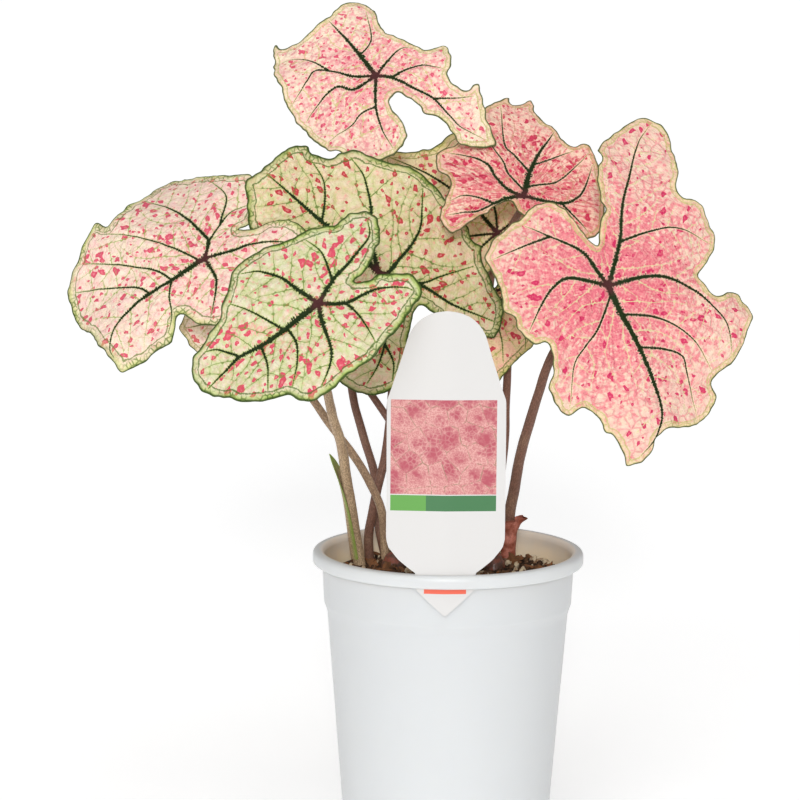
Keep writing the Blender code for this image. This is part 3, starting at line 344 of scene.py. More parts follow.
# What each blade's colours start from. tissue and blush mottle its ground, flush is the wash round the
# junction that fades out at its reach, and net tints the finest veins. Sizes are in millimetres, and
# what a blade doesn't say is as usual.
UNDERSIDE = (0.62, 0.58, 0.44)
USUAL_LOOK = dict(
    wash=0.1, reach=30, streak=0.0, crackle=0.1, haze=0.2, band=2.0, rim=0.6, fleck_length=1.2,
    ruffle=0.6, midrib=1.15,
)
# The blades that lie in the others' shade, upper_middle, low_right, back and low_left, have paler tissue
# and blush: painted light that lifts that shade.
LOOKS = {
    "far_left": dict(
        tissue=(0.93, 0.76, 0.62), blush=(0.93, 0.63, 0.57), flush=(0.84, 0.3, 0.32), wash=0.3, reach=40,
        streak=0.25, net=(0.72, 0.72, 0.38), halo=(0.62, 0.62, 0.32), twig=(0.36, 0.42, 0.12),
        loop=(0.16, 0.22, 0.05), margin=(0.66, 0.7, 0.26), band=3.4, rim=0.55, fleck=(0.68, 0.06, 0.13),
        flecks=3.4, fleck_length=1.4, lace=8, ruffle=0.8, midrib=1.0,
    ),
    # Paler tissue and blush: painted light that lifts the shade of the leaves and label in front
    "upper_middle": dict(
        tissue=(0.79, 0.69, 0.46), blush=(0.81, 0.6, 0.43), flush=(0.84, 0.32, 0.3), reach=25,
        crackle=0.05, net=(0.47, 0.53, 0.15), haze=0.4, halo=(0.38, 0.47, 0.13), twig=(0.14, 0.22, 0.04),
        loop=(0.08, 0.15, 0.02), margin=(0.36, 0.46, 0.1), band=3.0, rim=0.8, fleck=(0.5, 0.02, 0.04),
        flecks=3.0, fleck_length=1.5, lace=2,
    ),
    "front": dict(
        tissue=(0.76, 0.71, 0.51), blush=(0.79, 0.64, 0.5), flush=(0.82, 0.32, 0.31), reach=25,
        crackle=0.05, net=(0.45, 0.55, 0.16), haze=0.42, halo=(0.4, 0.5, 0.14), twig=(0.17, 0.26, 0.05),
        loop=(0.08, 0.15, 0.02), margin=(0.4, 0.54, 0.11), band=2.7, rim=0.8, fleck=(0.66, 0.05, 0.11),
        flecks=3.6, fleck_length=1.5, lace=4, midrib=1.2,
    ),
    # Paler tissue and blush: painted light that lifts the shade that the other leaves cast here
    "low_right": dict(
        tissue=(0.95, 0.7, 0.42), blush=(0.95, 0.58, 0.42), flush=(0.84, 0.3, 0.28), wash=0.2, streak=0.1,
        net=(0.66, 0.64, 0.26), haze=0.25, halo=(0.6, 0.58, 0.24), twig=(0.42, 0.44, 0.12),
        loop=(0.2, 0.24, 0.05), margin=(0.62, 0.62, 0.18), band=2.6, rim=0.5, fleck=(0.62, 0.03, 0.07),
        flecks=3.4, fleck_length=1.3, lace=1, midrib=0.8,
    ),
    "upper_right": dict(
        tissue=(0.92, 0.66, 0.5), blush=(0.92, 0.52, 0.43), flush=(0.78, 0.17, 0.2), wash=0.7, reach=55,
        streak=0.9, crackle=0.3, net=(0.95, 0.72, 0.58), halo=(0.92, 0.66, 0.48), twig=(0.66, 0.34, 0.22),
        loop=(0.58, 0.44, 0.18), margin=(0.82, 0.56, 0.34), band=1.8, fleck=(0.6, 0.02, 0.08), flecks=4.0,
        lace=6, ruffle=1.2,
    ),
    "right": dict(
        tissue=(0.82, 0.6, 0.45), blush=(0.83, 0.49, 0.41), flush=(0.8, 0.2, 0.24), wash=0.9, reach=70,
        streak=0.5, crackle=0.6, net=(0.94, 0.74, 0.62), haze=0.25, halo=(0.92, 0.66, 0.48),
        twig=(0.72, 0.62, 0.34), loop=(0.56, 0.5, 0.2), margin=(0.82, 0.68, 0.38), rim=0.5,
        fleck=(0.62, 0.02, 0.11), flecks=1.9, fleck_length=1.25, lace=9, ruffle=1.3,
    ),
    "top": dict(
        tissue=(0.92, 0.77, 0.58), blush=(0.92, 0.6, 0.52), flush=(0.82, 0.26, 0.3), wash=0.5, reach=58,
        streak=0.4, crackle=0.4, net=(0.94, 0.76, 0.58), halo=(0.9, 0.7, 0.5), twig=(0.62, 0.56, 0.24),
        loop=(0.56, 0.52, 0.22), margin=(0.86, 0.74, 0.42), fleck=(0.72, 0.07, 0.15), flecks=5.5,
        fleck_length=0.9, lace=8, ruffle=1.3, midrib=0.95,
    ),
    # Paler tissue and blush: painted light that lifts the shade that the other leaves cast here
    "back": dict(
        tissue=(0.95, 0.84, 0.54), blush=(0.95, 0.74, 0.52), flush=(0.84, 0.3, 0.26), wash=0.2,
        streak=0.1, net=(0.74, 0.72, 0.28), haze=0.25, halo=(0.7, 0.66, 0.3), twig=(0.56, 0.54, 0.16),
        loop=(0.34, 0.36, 0.08), margin=(0.82, 0.8, 0.28), band=3.0, fleck=(0.66, 0.06, 0.1), flecks=3.0,
        lace=2, ruffle=0.8, midrib=0.7,
    ),
    # Paler tissue and blush: painted light that lifts the shade under far_left
    "low_left": dict(
        tissue=(0.96, 0.82, 0.68), blush=(0.96, 0.74, 0.64), flush=(0.86, 0.38, 0.36),
        net=(0.82, 0.76, 0.48), halo=(0.76, 0.68, 0.42), twig=(0.64, 0.56, 0.28), loop=(0.45, 0.42, 0.16),
        margin=(0.76, 0.7, 0.36), rim=0.4, fleck=(0.74, 0.12, 0.14), flecks=2.6, lace=1, midrib=0.5,
    ),
}


def colour(name, description, default):
    return FloatVectorProperty(
        name=name, description=description, default=default, subtype="COLOR", size=3, min=0, max=1
    )


def length(name, description, millimetres):
    return FloatProperty(
        name=name, description=description, default=millimetres * MM, min=0, precision=5, unit="LENGTH"
    )


def share(name, description, default):
    return FloatProperty(
        name=name, description=description, default=default, min=0, max=1, subtype="FACTOR"
    )


def amount(name, description, default):
    return FloatProperty(name=name, description=description, default=default, min=0)


def number(name, description, default, least=0):
    return IntProperty(name=name, description=description, default=default, min=least)


LOOK_FIELDS = (
    ("tissue", colour, "Tissue", "The blade's paler ground"),
    ("blush", colour, "Blush", "The blade's warmer ground"),
    ("flush", colour, "Flush", "The lacy wash round the junction"),
    ("wash", share, "Wash", "How strong the flush is"),
    ("reach", length, "Reach", "How far the flush reaches from the junction"),
    ("streak", share, "Streaks", "How strong the streaks away from the junction are"),
    ("crackle", share, "Crackle", "How strong the net of flush colour is"),
    ("net", colour, "Net", "The finest veins and the haze beside them"),
    ("haze", share, "Haze", "How much the net and its haze show"),
    ("halo", colour, "Halo", "The fringe beside the main veins"),
    ("twig", colour, "Thin veins", "The veins between the main ones"),
    ("loop", colour, "Collecting vein", "The vein that runs inside the edge"),
    ("margin", colour, "Margin", "The band along the edge"),
    ("band", length, "Band", "Width of the band along the edge"),
    ("rim", length, "Rim", "Width of the dark line at the very edge"),
    ("fleck", colour, "Flecks", "The flecks' colour"),
    ("flecks", amount, "Fleck count", "Flecks on a square centimetre"),
    ("fleck_length", length, "Fleck length", "Half the length of a middling fleck"),
    ("lace", number, "Lace", "Large patches of broken colour"),
    ("ruffle", length, "Ruffle", "Height of the small waves at the edge"),
    ("midrib", length, "Midrib", "Half the midrib's width at the junction"),
)


def blade_look(name, look):
    """A property group with the colours and markings of one blade."""
    fields = {field: make(title, note, look[field]) for field, make, title, note in LOOK_FIELDS}
    return type(f"CALADIUM_PG_look_{name}", (PropertyGroup,), {"__annotations__": fields})


LOOK_GROUPS = {name: blade_look(name, {**USUAL_LOOK, **look}) for name, look in LOOKS.items()}


class CALADIUM_PG_blades(PropertyGroup):
    """Sizes and colours that all blades share."""

    mesh_step: length("Mesh step", "Spacing of the blade's points", 0.85)
    thickness: length("Thickness", "Thickness of the blade between its veins", 0.5)
    cushion: length("Cushion", "How far the blade swells between its veins", 0.8)
    groove: length("Groove", "How deep the main veins lie in the upper face", 0.4)
    rib: length("Rib", "How far the main veins stand out below, beside the junction", 1.0)
    crumple: length("Crumple", "Height of the small uneven waves", 0.7)
    branch_step: length("Branch step", "Spacing of the thin veins along a main vein", 8.0)
    twig_step: length("Twig step", "Spacing of the finest drawn veins", 4.5)
    vein: colour("Veins", "The main veins", (0.010, 0.024, 0.003))
    junction: colour("Junction", "The veins where they meet", (0.07, 0.02, 0.02))
    outline: colour("Outline", "The blade's very edge", (0.030, 0.060, 0.008))


class CALADIUM_PG_stalks(PropertyGroup):
    """Colours of the stalks, the sheaths and the buds."""

    olive: colour("Olive", "The skin of the greener stalks", (0.60, 0.43, 0.26))
    brown: colour("Brown", "The skin of the browner stalks", (0.22, 0.105, 0.07))
    speck: colour("Specks", "The dark specks along the stalks", (0.085, 0.04, 0.026))
    sheath: colour("Sheath", "The green edge of the sheath", (0.22, 0.34, 0.05))
    old_sheath: colour("Old sheath", "The dry red-brown sheath", (0.58, 0.20, 0.14))
    bud: colour("Buds", "The glossy red-brown buds", (0.27, 0.06, 0.028))


class CALADIUM_PG_pot(PropertyGroup):
    """Sizes and colours of the pot."""

    sides: number("Sides", "Faces round the pot", 144, 12)
    plastic: colour("Plastic", "The pot's white plastic", (0.63, 0.645, 0.65))
    # Partly a soil smudge and partly painted warm light that brightens the shaded inside wall
    smudge_and_inner_light: colour("Smudge and inner light", "The warm tint inside, above the soil", (0.98, 0.77, 0.56))


class CALADIUM_PG_soil(PropertyGroup):
    """Sizes and colours of the potting soil."""

    mesh_step: length("Mesh step", "Spacing of the soil's top points", 1.3)
    crumb: length("Crumb", "Half the size of a middling crumb", 1.2)
    crumbs: number("Crumbs", "Loose crumbs of peat", 800)
    chips: number("Chips", "Flat chips of bark", 220)
    grains: number("Grains", "Pale mineral grains", 170)
    peat: colour("Peat", "The dark peat", (0.030, 0.015, 0.008))
    fibre: colour("Fibre", "The lighter fibres in it", (0.16, 0.08, 0.04))
    bark: colour("Bark", "The bark chips", (0.26, 0.11, 0.045))
    grain: colour("Grain", "The mineral grains", (0.78, 0.66, 0.46))


class CALADIUM_PG_label(PropertyGroup):
    """Colours of the plant label."""

    board: colour("Board", "The white board", (0.63, 0.62, 0.61))
    petal: colour("Petal", "The picture panel's paler pink", (0.66, 0.33, 0.30))
    deep_petal: colour("Deep petal", "The picture panel's deeper pink", (0.42, 0.07, 0.10))
    joint: colour("Joint", "The thin lines in the panel", (0.22, 0.16, 0.08))
    band: colour("Band", "The darker half of the band", (0.045, 0.17, 0.06))
    light_band: colour("Light band", "The lighter half of the band", (0.11, 0.33, 0.06))
    strip: colour("Strip", "The short strip on the stem", (0.76, 0.12, 0.065))


class CALADIUM_PG_stage(PropertyGroup):
    """The floor, the light and the camera."""

    floor: colour("Floor", "The floor's colour", (0.93, 0.93, 0.93))
    glow: amount("Glow", "Light that the floor gives by itself", 0.36)
    sky: amount("Sky", "Strength of the even light", 0.35)
    key: amount("Key", "Strength of the soft light", 1.02)
    focal: amount("Focal length", "The camera's lens, in millimetres", 130.68)


def mm(size):
    return size / MM


def new_material(name, roughness, gloss=0.5):
    """A material, the maker of its nodes and its shader."""
    made = bpy.data.materials.new(name)
    made.use_nodes = True
    shader = made.node_tree.nodes["Principled BSDF"]
    shader.inputs["Roughness"].default_value = roughness
    shader.inputs["Specular IOR Level"].default_value = gloss
    return made, Graph(made.node_tree), shader


class Graph:
    """Short names for the nodes that materials and groups are made of."""

    def __init__(self, tree):
        self.tree = tree

    def put(self, socket, value):
        if isinstance(value, bpy.types.NodeSocket):
            self.tree.links.new(value, socket)
        elif socket.type == "RGBA":
            socket.default_value = (*value, 1)
        else:
            socket.default_value = value

    def node(self, kind, inputs, output, **settings):
        made = self.tree.nodes.new("ShaderNode" + kind)
        for name, value in settings.items():
            setattr(made, name, value)
        for name, value in inputs.items():
            self.put(made.inputs[name], value)
        return made.outputs[output]

    def maths(self, operation, first, second=0.0):
        return self.node("Math", {0: first, 1: second}, 0, operation=operation)

    def plus(self, first, second):
        return self.maths("ADD", first, second)

    def minus(self, first, second):
        return self.maths("SUBTRACT", first, second)

    def times(self, first, second):
        return self.maths("MULTIPLY", first, second)

    def swing(self, mask, reach):
        """A mask's values as a swing to both sides of nothing."""
        return self.times(self.minus(mask, 0.5), reach)

    def ramp(self, value, low, high, start=0.0, end=1.0):
        """From start to end, smoothly, as the value goes from low to high."""
        inputs = {"Value": value, "From Min": low, "From Max": high, "To Min": start, "To Max": end}
        return self.node("MapRange", inputs, "Result", interpolation_type="SMOOTHSTEP")

    def mix(self, factor, under, over):
        inputs = {"Factor": factor, 6: under, 7: over}
        return self.node("Mix", inputs, 2, data_type="RGBA")

    def noise(self, place, size, detail=2.0):
        inputs = {"Vector": place, "Scale": 1 / size, "Detail": detail}
        return self.node("TexNoise", inputs, "Fac")

    def attribute(self, name):
        return self.node("Attribute", {}, "Vector", attribute_name=name)

    def parts(self, vector):
        made = self.tree.nodes.new("ShaderNodeSeparateXYZ")
        self.put(made.inputs[0], vector)
        return made.outputs

    def place(self):
        """The object's own coordinates in millimetres."""
        return self.scaled(self.node("TexCoord", {}, "Object"), 1 / MM)

    def scaled(self, place, factor):
        return self.node("VectorMath", {0: place, "Scale": factor}, 0, operation="SCALE")

    def in_units(self, place, size):
        """Coordinates in units of a size that comes from a socket."""
        return self.scaled(place, self.maths("DIVIDE", 1.0, size))

    def use(self, group, **inputs):
        made = self.tree.nodes.new("ShaderNodeGroup")
        made.node_tree = group()
        for name, value in inputs.items():
            self.put(made.inputs[name.replace("_", " ").capitalize()], value)
        return made.outputs[0]

    def patches(self, place, size, contrast):
        return self.use(mottle, place=place, size=size, contrast=contrast)

    def dress(self, shader, skin, relief, depth, roughness=None):
        """Gives the shader its colour, its relief with a depth in millimetres, and its roughness."""
        self.put(shader.inputs["Base Color"], skin)
        bump = self.node("Bump", {"Distance": depth * MM, "Height": relief}, "Normal")
        self.put(shader.inputs["Normal"], bump)
        if roughness:
            self.put(shader.inputs["Roughness"], roughness)


def shared_group(name, inputs, build):
    """A node group that puts out one mask. It is made the first time that a material wants it."""
    if name in bpy.data.node_groups:
        return bpy.data.node_groups[name]
    tree = bpy.data.node_groups.new(name, "ShaderNodeTree")
    for label in inputs:
        kind = "NodeSocketVector" if label in ("Place", "Ray") else "NodeSocketFloat"
        tree.interface.new_socket(label, in_out="INPUT", socket_type=kind)
    tree.interface.new_socket("Mask", in_out="OUTPUT", socket_type="NodeSocketFloat")
    graph = Graph(tree)
    entry = tree.nodes.new("NodeGroupInput")
    leave = tree.nodes.new("NodeGroupOutput")
    sockets = [entry.outputs[label] for label in inputs]
    graph.put(leave.inputs[0], build(graph, *sockets))
    return tree


def ragged_line():
    """A line with fine teeth on both sides, from how deep a point lies in it and its place along it."""

    def build(graph, place, depth, along, teeth):
        comb = graph.node("CombineXYZ", {0: along, 1: graph.times(depth, 0.35)}, 0)
        spikes = graph.ramp(graph.noise(comb, 0.55, 1.0), 0.38, 0.72)
        rough = graph.swing(graph.noise(place, 0.8, 3.0), 1.6)
        reach = graph.times(graph.plus(spikes, rough), teeth)
        return graph.ramp(graph.plus(depth, reach), -0.08, 0.12)

    return shared_group("Ragged line", ("Place", "Depth", "Along", "Teeth"), build)


def lacy_wash():
    """Colour that thins out into lace as its level sinks from one to nothing."""

    def build(graph, place, level, size):
        lace = graph.swing(graph.noise(graph.in_units(place, size), 1.0, 5.0), 1.7)
        lace = graph.plus(lace, graph.times(level, 0.55))
        return graph.ramp(lace, 0.05, 0.42)

    return shared_group("Lacy wash", ("Place", "Level", "Size"), build)


def fine_net():
    """A net of fine veins round uneven cells, fading in and out."""

    def build(graph, place, cell, line):
        spot = graph.in_units(place, cell)
        warp = graph.node("TexNoise", {"Vector": spot, "Scale": 1.1, "Detail": 2.0}, "Color")
        spot = graph.node("Mix", {"Factor": 0.3, 4: spot, 5: warp}, 1, data_type="VECTOR")
        inputs = {"Vector": spot, "Scale": 1.4}
        settings = {"voronoi_dimensions": "2D", "feature": "DISTANCE_TO_EDGE"}
        away = graph.node("TexVoronoi", inputs, "Distance", **settings)
        net = graph.ramp(graph.maths("DIVIDE", away, line), 0.2, 1.0, 1.0, 0.0)
        fade = graph.ramp(graph.noise(spot, 2.5, 1.0), 0.35, 0.6)
        return graph.times(net, fade)

    return shared_group("Fine net", ("Place", "Cell", "Line"), build)


def mottle():
    """Soft uneven patches."""

    def build(graph, place, size, contrast):
        patch = graph.noise(graph.in_units(place, size), 1.0, 3.0)
        return graph.ramp(graph.swing(patch, contrast), -0.5, 0.5)

    return shared_group("Mottle", ("Place", "Size", "Contrast"), build)


def fleck_shape():
    """The torn shape of a fleck, from the distance to its middle as a share of its size."""

    def build(graph, place, distance, tear):
        torn = graph.swing(graph.noise(place, 0.9, 2.0), tear)
        return graph.ramp(graph.plus(distance, torn), 0.92, 1.06, 1.0, 0.0)

    return shared_group("Fleck shape", ("Place", "Distance", "Tear"), build)


def streaks():
    """Uneven streaks that spread from the junction, from the way to it and the distance."""

    def build(graph, ray, core):
        x, y, _ = graph.parts(ray)
        fan = {0: graph.times(x, 26.0), 1: graph.times(y, 26.0),
               2: graph.times(core, 0.22)}
        value = graph.noise(graph.node("CombineXYZ", fan, 0), 1.0, 3.0)
        return graph.ramp(value, 0.38, 0.62)

    return shared_group("Streaks", ("Ray", "Core"), build)


def new_object(name, mesh, materials):
    made = bpy.data.objects.new(name, mesh)
    bpy.context.scene.collection.objects.link(made)
    for entry in materials:
        mesh.materials.append(entry)
    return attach(made, "root")


def mesh_of(name, points, faces, sharp=40):
    """A smooth mesh from points in millimetres."""
    mesh = bpy.data.meshes.new(name)
    mesh.from_pydata((np.asarray(points, float) * MM).tolist(), [], faces)
    mesh.shade_smooth()
    mesh.set_sharp_from_angle(angle=math.radians(sharp))
    return mesh


def mark(mesh, name, values):
    """Keeps a vector for each point of the mesh, for its material."""
    layer = mesh.attributes.new(name, "FLOAT_VECTOR", "POINT")
    layer.data.foreach_set("vector", np.ascontiguousarray(values, np.float32).ravel())


def curve_through(points, closed=False, steps=10):
    """A dense smooth curve through points in the plane or in space."""
    points = np.array(points, float)
    if closed:
        before, start, end, after = (np.roll(points, turn, 0) for turn in (1, 0, -1, -2))
    else:
        padded = np.concatenate([points[:1], points, points[-1:]])
        before, start, end, after = padded[:-3], padded[1:-2], padded[2:-1], padded[3:]
    before, start, end, after = (near[:, None] for near in (before, start, end, after))
    t = (np.arange(steps) / steps)[:, None]
    bend = 2 * before - 5 * start + 4 * end - after
    twist = 3 * start - before - 3 * end + after
    curve = start + 0.5 * t * (end - before + t * (bend + t * twist))
    curve = curve.reshape(-1, points.shape[1])
    return curve if closed else np.concatenate([curve, points[-1:]])


def unit(ways):
    return ways / np.linalg.norm(ways, axis=1)[:, None]


def travelled(path):
    """How far along the path each of its points lies."""
    return np.concatenate([[0], np.cumsum(np.linalg.norm(np.diff(path, axis=0), axis=1))])


def spaced(curve, spacing, closed=False):
    """Points along the curve at even steps of about the spacing."""
    path = np.concatenate([curve, curve[:1]]) if closed else curve
    reach = travelled(path)
    count = max(2, round(reach[-1] / spacing))
    wanted = np.linspace(0, reach[-1], count + 1)[: count if closed else count + 1]
    return np.stack([np.interp(wanted, reach, column) for column in path.T], -1)


def inside(points, outline):
    """Which of the points lie inside the outline."""
    x, y = points[:, None, 0], points[:, None, 1]
    ax, ay = outline.T
    bx, by = np.roll(outline, -1, 0).T
    spans = (ay > y) != (by > y)
    rise = np.where(by == ay, 1e-9, by - ay)
    return (spans & (x < ax + (bx - ax) * (y - ay) / rise)).sum(1) % 2 == 1


class Strokes:
    """Drawn lines with a half width at each of their points."""

    def __init__(self, lines, widths):
        self.starts = np.concatenate([line[:-1] for line in lines])
        self.ends = np.concatenate([line[1:] for line in lines])
        self.near = np.concatenate([width[:-1] for width in widths])
        self.far = np.concatenate([width[1:] for width in widths])
        span = np.linalg.norm(self.ends - self.starts, axis=1)
        self.travel = np.cumsum(span) - span
        self.span = span

    def read(self, points):
        """How deep each point lies in the nearest stroke, its place along it and the half width there."""
        along = self.ends - self.starts
        square = np.maximum((along**2).sum(1), 1e-9)
        found = []
        for chunk in np.array_split(points, len(points) // 2000 + 1):
            offset = chunk[:, None] - self.starts
            part = np.clip((offset * along).sum(2) / square, 0, 1)
            gap = np.linalg.norm(offset - part[..., None] * along, axis=2)
            width = self.near + (self.far - self.near) * part
            best = (width - gap).argmax(1)
            rows = np.arange(len(chunk))
            place = self.travel[best] + part[rows, best] * self.span[best]
            found.append([(width - gap)[rows, best], place, width[rows, best]])
        return np.concatenate([np.array(entry) for entry in found], 1)


def rim_of(outline):
    """The outline as a stroke with no width."""
    ring = np.concatenate([outline, outline[:1]])
    return Strokes([ring], [np.zeros(len(ring))])


def blade_frame(leaf):
    """The ways across the blade, along its midrib and out of its upper face."""
    turn, lean, spin = (math.radians(angle) for angle in (leaf.turn, leaf.lean, leaf.spin))
    face = Vector((math.sin(turn) * math.cos(lean), -math.cos(turn) * math.cos(lean), math.sin(lean)))
    down = Vector((math.sin(turn) * math.sin(lean), -math.cos(turn) * math.sin(lean), -math.cos(lean)))
    side = Vector((math.cos(turn), math.sin(turn), 0))
    along = down * math.cos(spin) + side * math.sin(spin)
    return along.cross(face), along, face


def lift(leaf, u, v):
    """How far the blade stands out of its plane at each point."""
    tip, lobes, sides = leaf.droop
    height, count, phase = leaf.wave
    ahead, behind = np.maximum(v, 0), np.maximum(-v, 0)
    bend = tip * (ahead / 50) ** 2 + lobes * (behind / 40) ** 2 + sides * (u / 40) ** 2
    fold = leaf.fold * abs(u) / (abs(u) + 10)
    turn = leaf.twist * (u / 40) * (behind / 40)
    edge = np.minimum(np.hypot(u, v) / 45, 1.3) ** 2
    return fold - bend - turn + height * edge * np.sin(count * np.arctan2(u, v) + phase)


def vein_widths(vein, midrib, first):
    """A vein's half width at each of its points."""
    from_junction = np.hypot(*vein[0]) < 1.5
    start = midrib if first else midrib * (0.66 if from_junction else 0.38)
    share_left = 1 - np.arange(len(vein)) / (len(vein) - 1)
    return 0.08 + (start - 0.08) * share_left**0.8


def off_blade(spot, outline, margin, gap):
    """Whether a spot lies outside the outline or within a gap of it."""
    return -margin.read(spot[None])[0][0] < gap or not inside(spot[None], outline)[0]


def carried_on(vein, outline, margin, stop):
    """The vein, drawn on the way that it ends until it meets the vein inside the edge."""
    path = list(vein)
    heading = vein[-1] - vein[-3]
    heading = heading / np.hypot(*heading)
    while len(path) < len(vein) + 14:
        ahead = path[-1] + heading
        if off_blade(ahead, outline, margin, stop):
            break
        path.append(ahead)
    return np.array(path)


def grown_branches(outline, lines, others, step, reach, rng):
    """Thin veins that leave both sides of the lines and end at the margin or another vein."""
    margin = rim_of(outline)
    taken = np.concatenate([*lines, *others])
    grown = []
    for line in lines:
        for side in (1, -1):
            start = step * rng.uniform(0.5, 1.1)
            while start < len(line) - 4:
                here = int(start)
                start += step * rng.uniform(0.75, 1.35)
                tangent = line[here + 1] - line[here - 1]
                heading = math.atan2(tangent[1], tangent[0]) + side * math.radians(rng.uniform(50, 72))
                bend = rng.uniform(-0.01, 0.045)
                path = [line[here]]
                while len(path) < reach:
                    heading += -side * bend + rng.normal(0, 0.07)
                    ahead = path[-1] + BRANCH_STRIDE * np.array([math.cos(heading), math.sin(heading)])
                    if off_blade(ahead, outline, margin, BRANCH_MARGIN):
                        break
                    gaps = np.hypot(*(taken - ahead).T)
                    if len(path) > 2 and gaps.min() < BRANCH_JOINS:
                        path.append(taken[gaps.argmin()])
                        break
                    path.append(ahead)
                if len(path) > 3:
                    grown.append(np.array(path))
                    taken = np.concatenate([taken, grown[-1]])
    return grown


# middles: the flecks' places. ways: which way each lies. halves: half its length and half its width.
# lobes: where the bulges of its uneven outline lie.
Flecks = namedtuple("Flecks", "middles ways halves lobes")


def scattered(outline, count, half_length, clear, rng):
    """Flecks strewn over the blade, most of them lying away from the junction."""
    margin = rim_of(outline)
    low, high = outline.min(0), outline.max(0)
    trial = low + (high - low) * rng.random((count * 16 + 60, 2))
    trial = trial[inside(trial, outline)]
    trial = trial[-margin.read(trial)[0] > clear]
    kept = []
    for spot in trial:
        if len(kept) == count:
            break
        if not kept or np.hypot(*(np.array(kept) - spot).T).min() > 1.7 * half_length:
            kept.append(spot)
    middles = np.array(kept).reshape(-1, 2)
    turn = np.arctan2(middles[:, 1], middles[:, 0]) + rng.normal(0, 0.45, len(middles))
    long = half_length * (0.65 + 1.05 * rng.random(len(middles)) ** 2.2)
    wide = np.maximum(long * rng.uniform(0.4, 0.7, len(middles)), 0.42)
    lobes = rng.uniform(0, 2 * math.pi, (len(middles), 2))
    return Flecks(middles, np.stack([np.cos(turn), np.sin(turn)], -1), np.stack([long, wide], -1), lobes)


def fleck_distance(points, flecks):
    """The distance to the nearest fleck's middle as a share of its size."""
    best = np.full(len(points), 9.0)
    for middle, way, (long, wide), (four, three) in zip(*flecks):
        offset = points - middle
        along = offset @ way / long
        beside = offset @ np.array([-way[1], way[0]]) / wide
        angle = np.arctan2(beside, along)
        swell = 1 + 0.16 * np.cos(4 * angle + four) + 0.18 * np.cos(3 * angle + three)
        best = np.minimum(best, np.hypot(along, beside) / swell)
    return best


def blade_points(outline, lines, spots, step):
    """The plane's points and triangles, with the lines as edges."""
    count = len(outline)
    points = outline.tolist()
    edges = [(i, (i + 1) % count) for i in range(count)]
    for line in lines:
        edges += [(i, i + 1) for i in range(len(points), len(points) + len(line) - 1)]
        points += line.tolist()
    points += spots.tolist()
    tree = KDTree(len(points))
    for i, point in enumerate(points):
        tree.insert((*point, 0), i)
    tree.balance()
    low, high = outline.min(0), outline.max(0)
    rise = step * math.sqrt(3) / 2
    rows, columns = np.mgrid[0 : (high[1] - low[1]) / rise, 0 : (high[0] - low[0]) / step]
    grid = np.stack([low[0] + (columns + rows % 2 / 2) * step, low[1] + rows * rise], -1).reshape(-1, 2)
    grid = grid[inside(grid, outline)].tolist()
    points += [point for point in grid if tree.find((*point, 0))[2] > 0.6 * step]
    flat, _, triangles, *_ = delaunay_2d_cdt([Vector(p) for p in points], edges, [], 1, 0.001)
    return np.array([tuple(point) for point in flat]), triangles


def rim_edges(triangles):
    """The edges that belong to one triangle, the way round that it has them."""
    ring = {}
    for a, b, c in triangles:
        for edge in ((a, b), (b, c), (c, a)):
            ring[edge] = True
    return [edge for edge in ring if edge[::-1] not in ring]


def sheet_faces(triangles, count):
    """The faces of a closed sheet: its near side, its far side and the walls round its rim."""
    under = [(c + count, b + count, a + count) for a, b, c in triangles]
    walls = [(b, a, a + count, b + count) for a, b in rim_edges(triangles)]
    return [tuple(corners) for corners in triangles], under, walls


def unevenness(points, level, size):
    """Smooth noise at points in the plane, with another pattern at each level."""
    return np.array([noise.noise(Vector((x, y, level)) / size) for x, y in points])


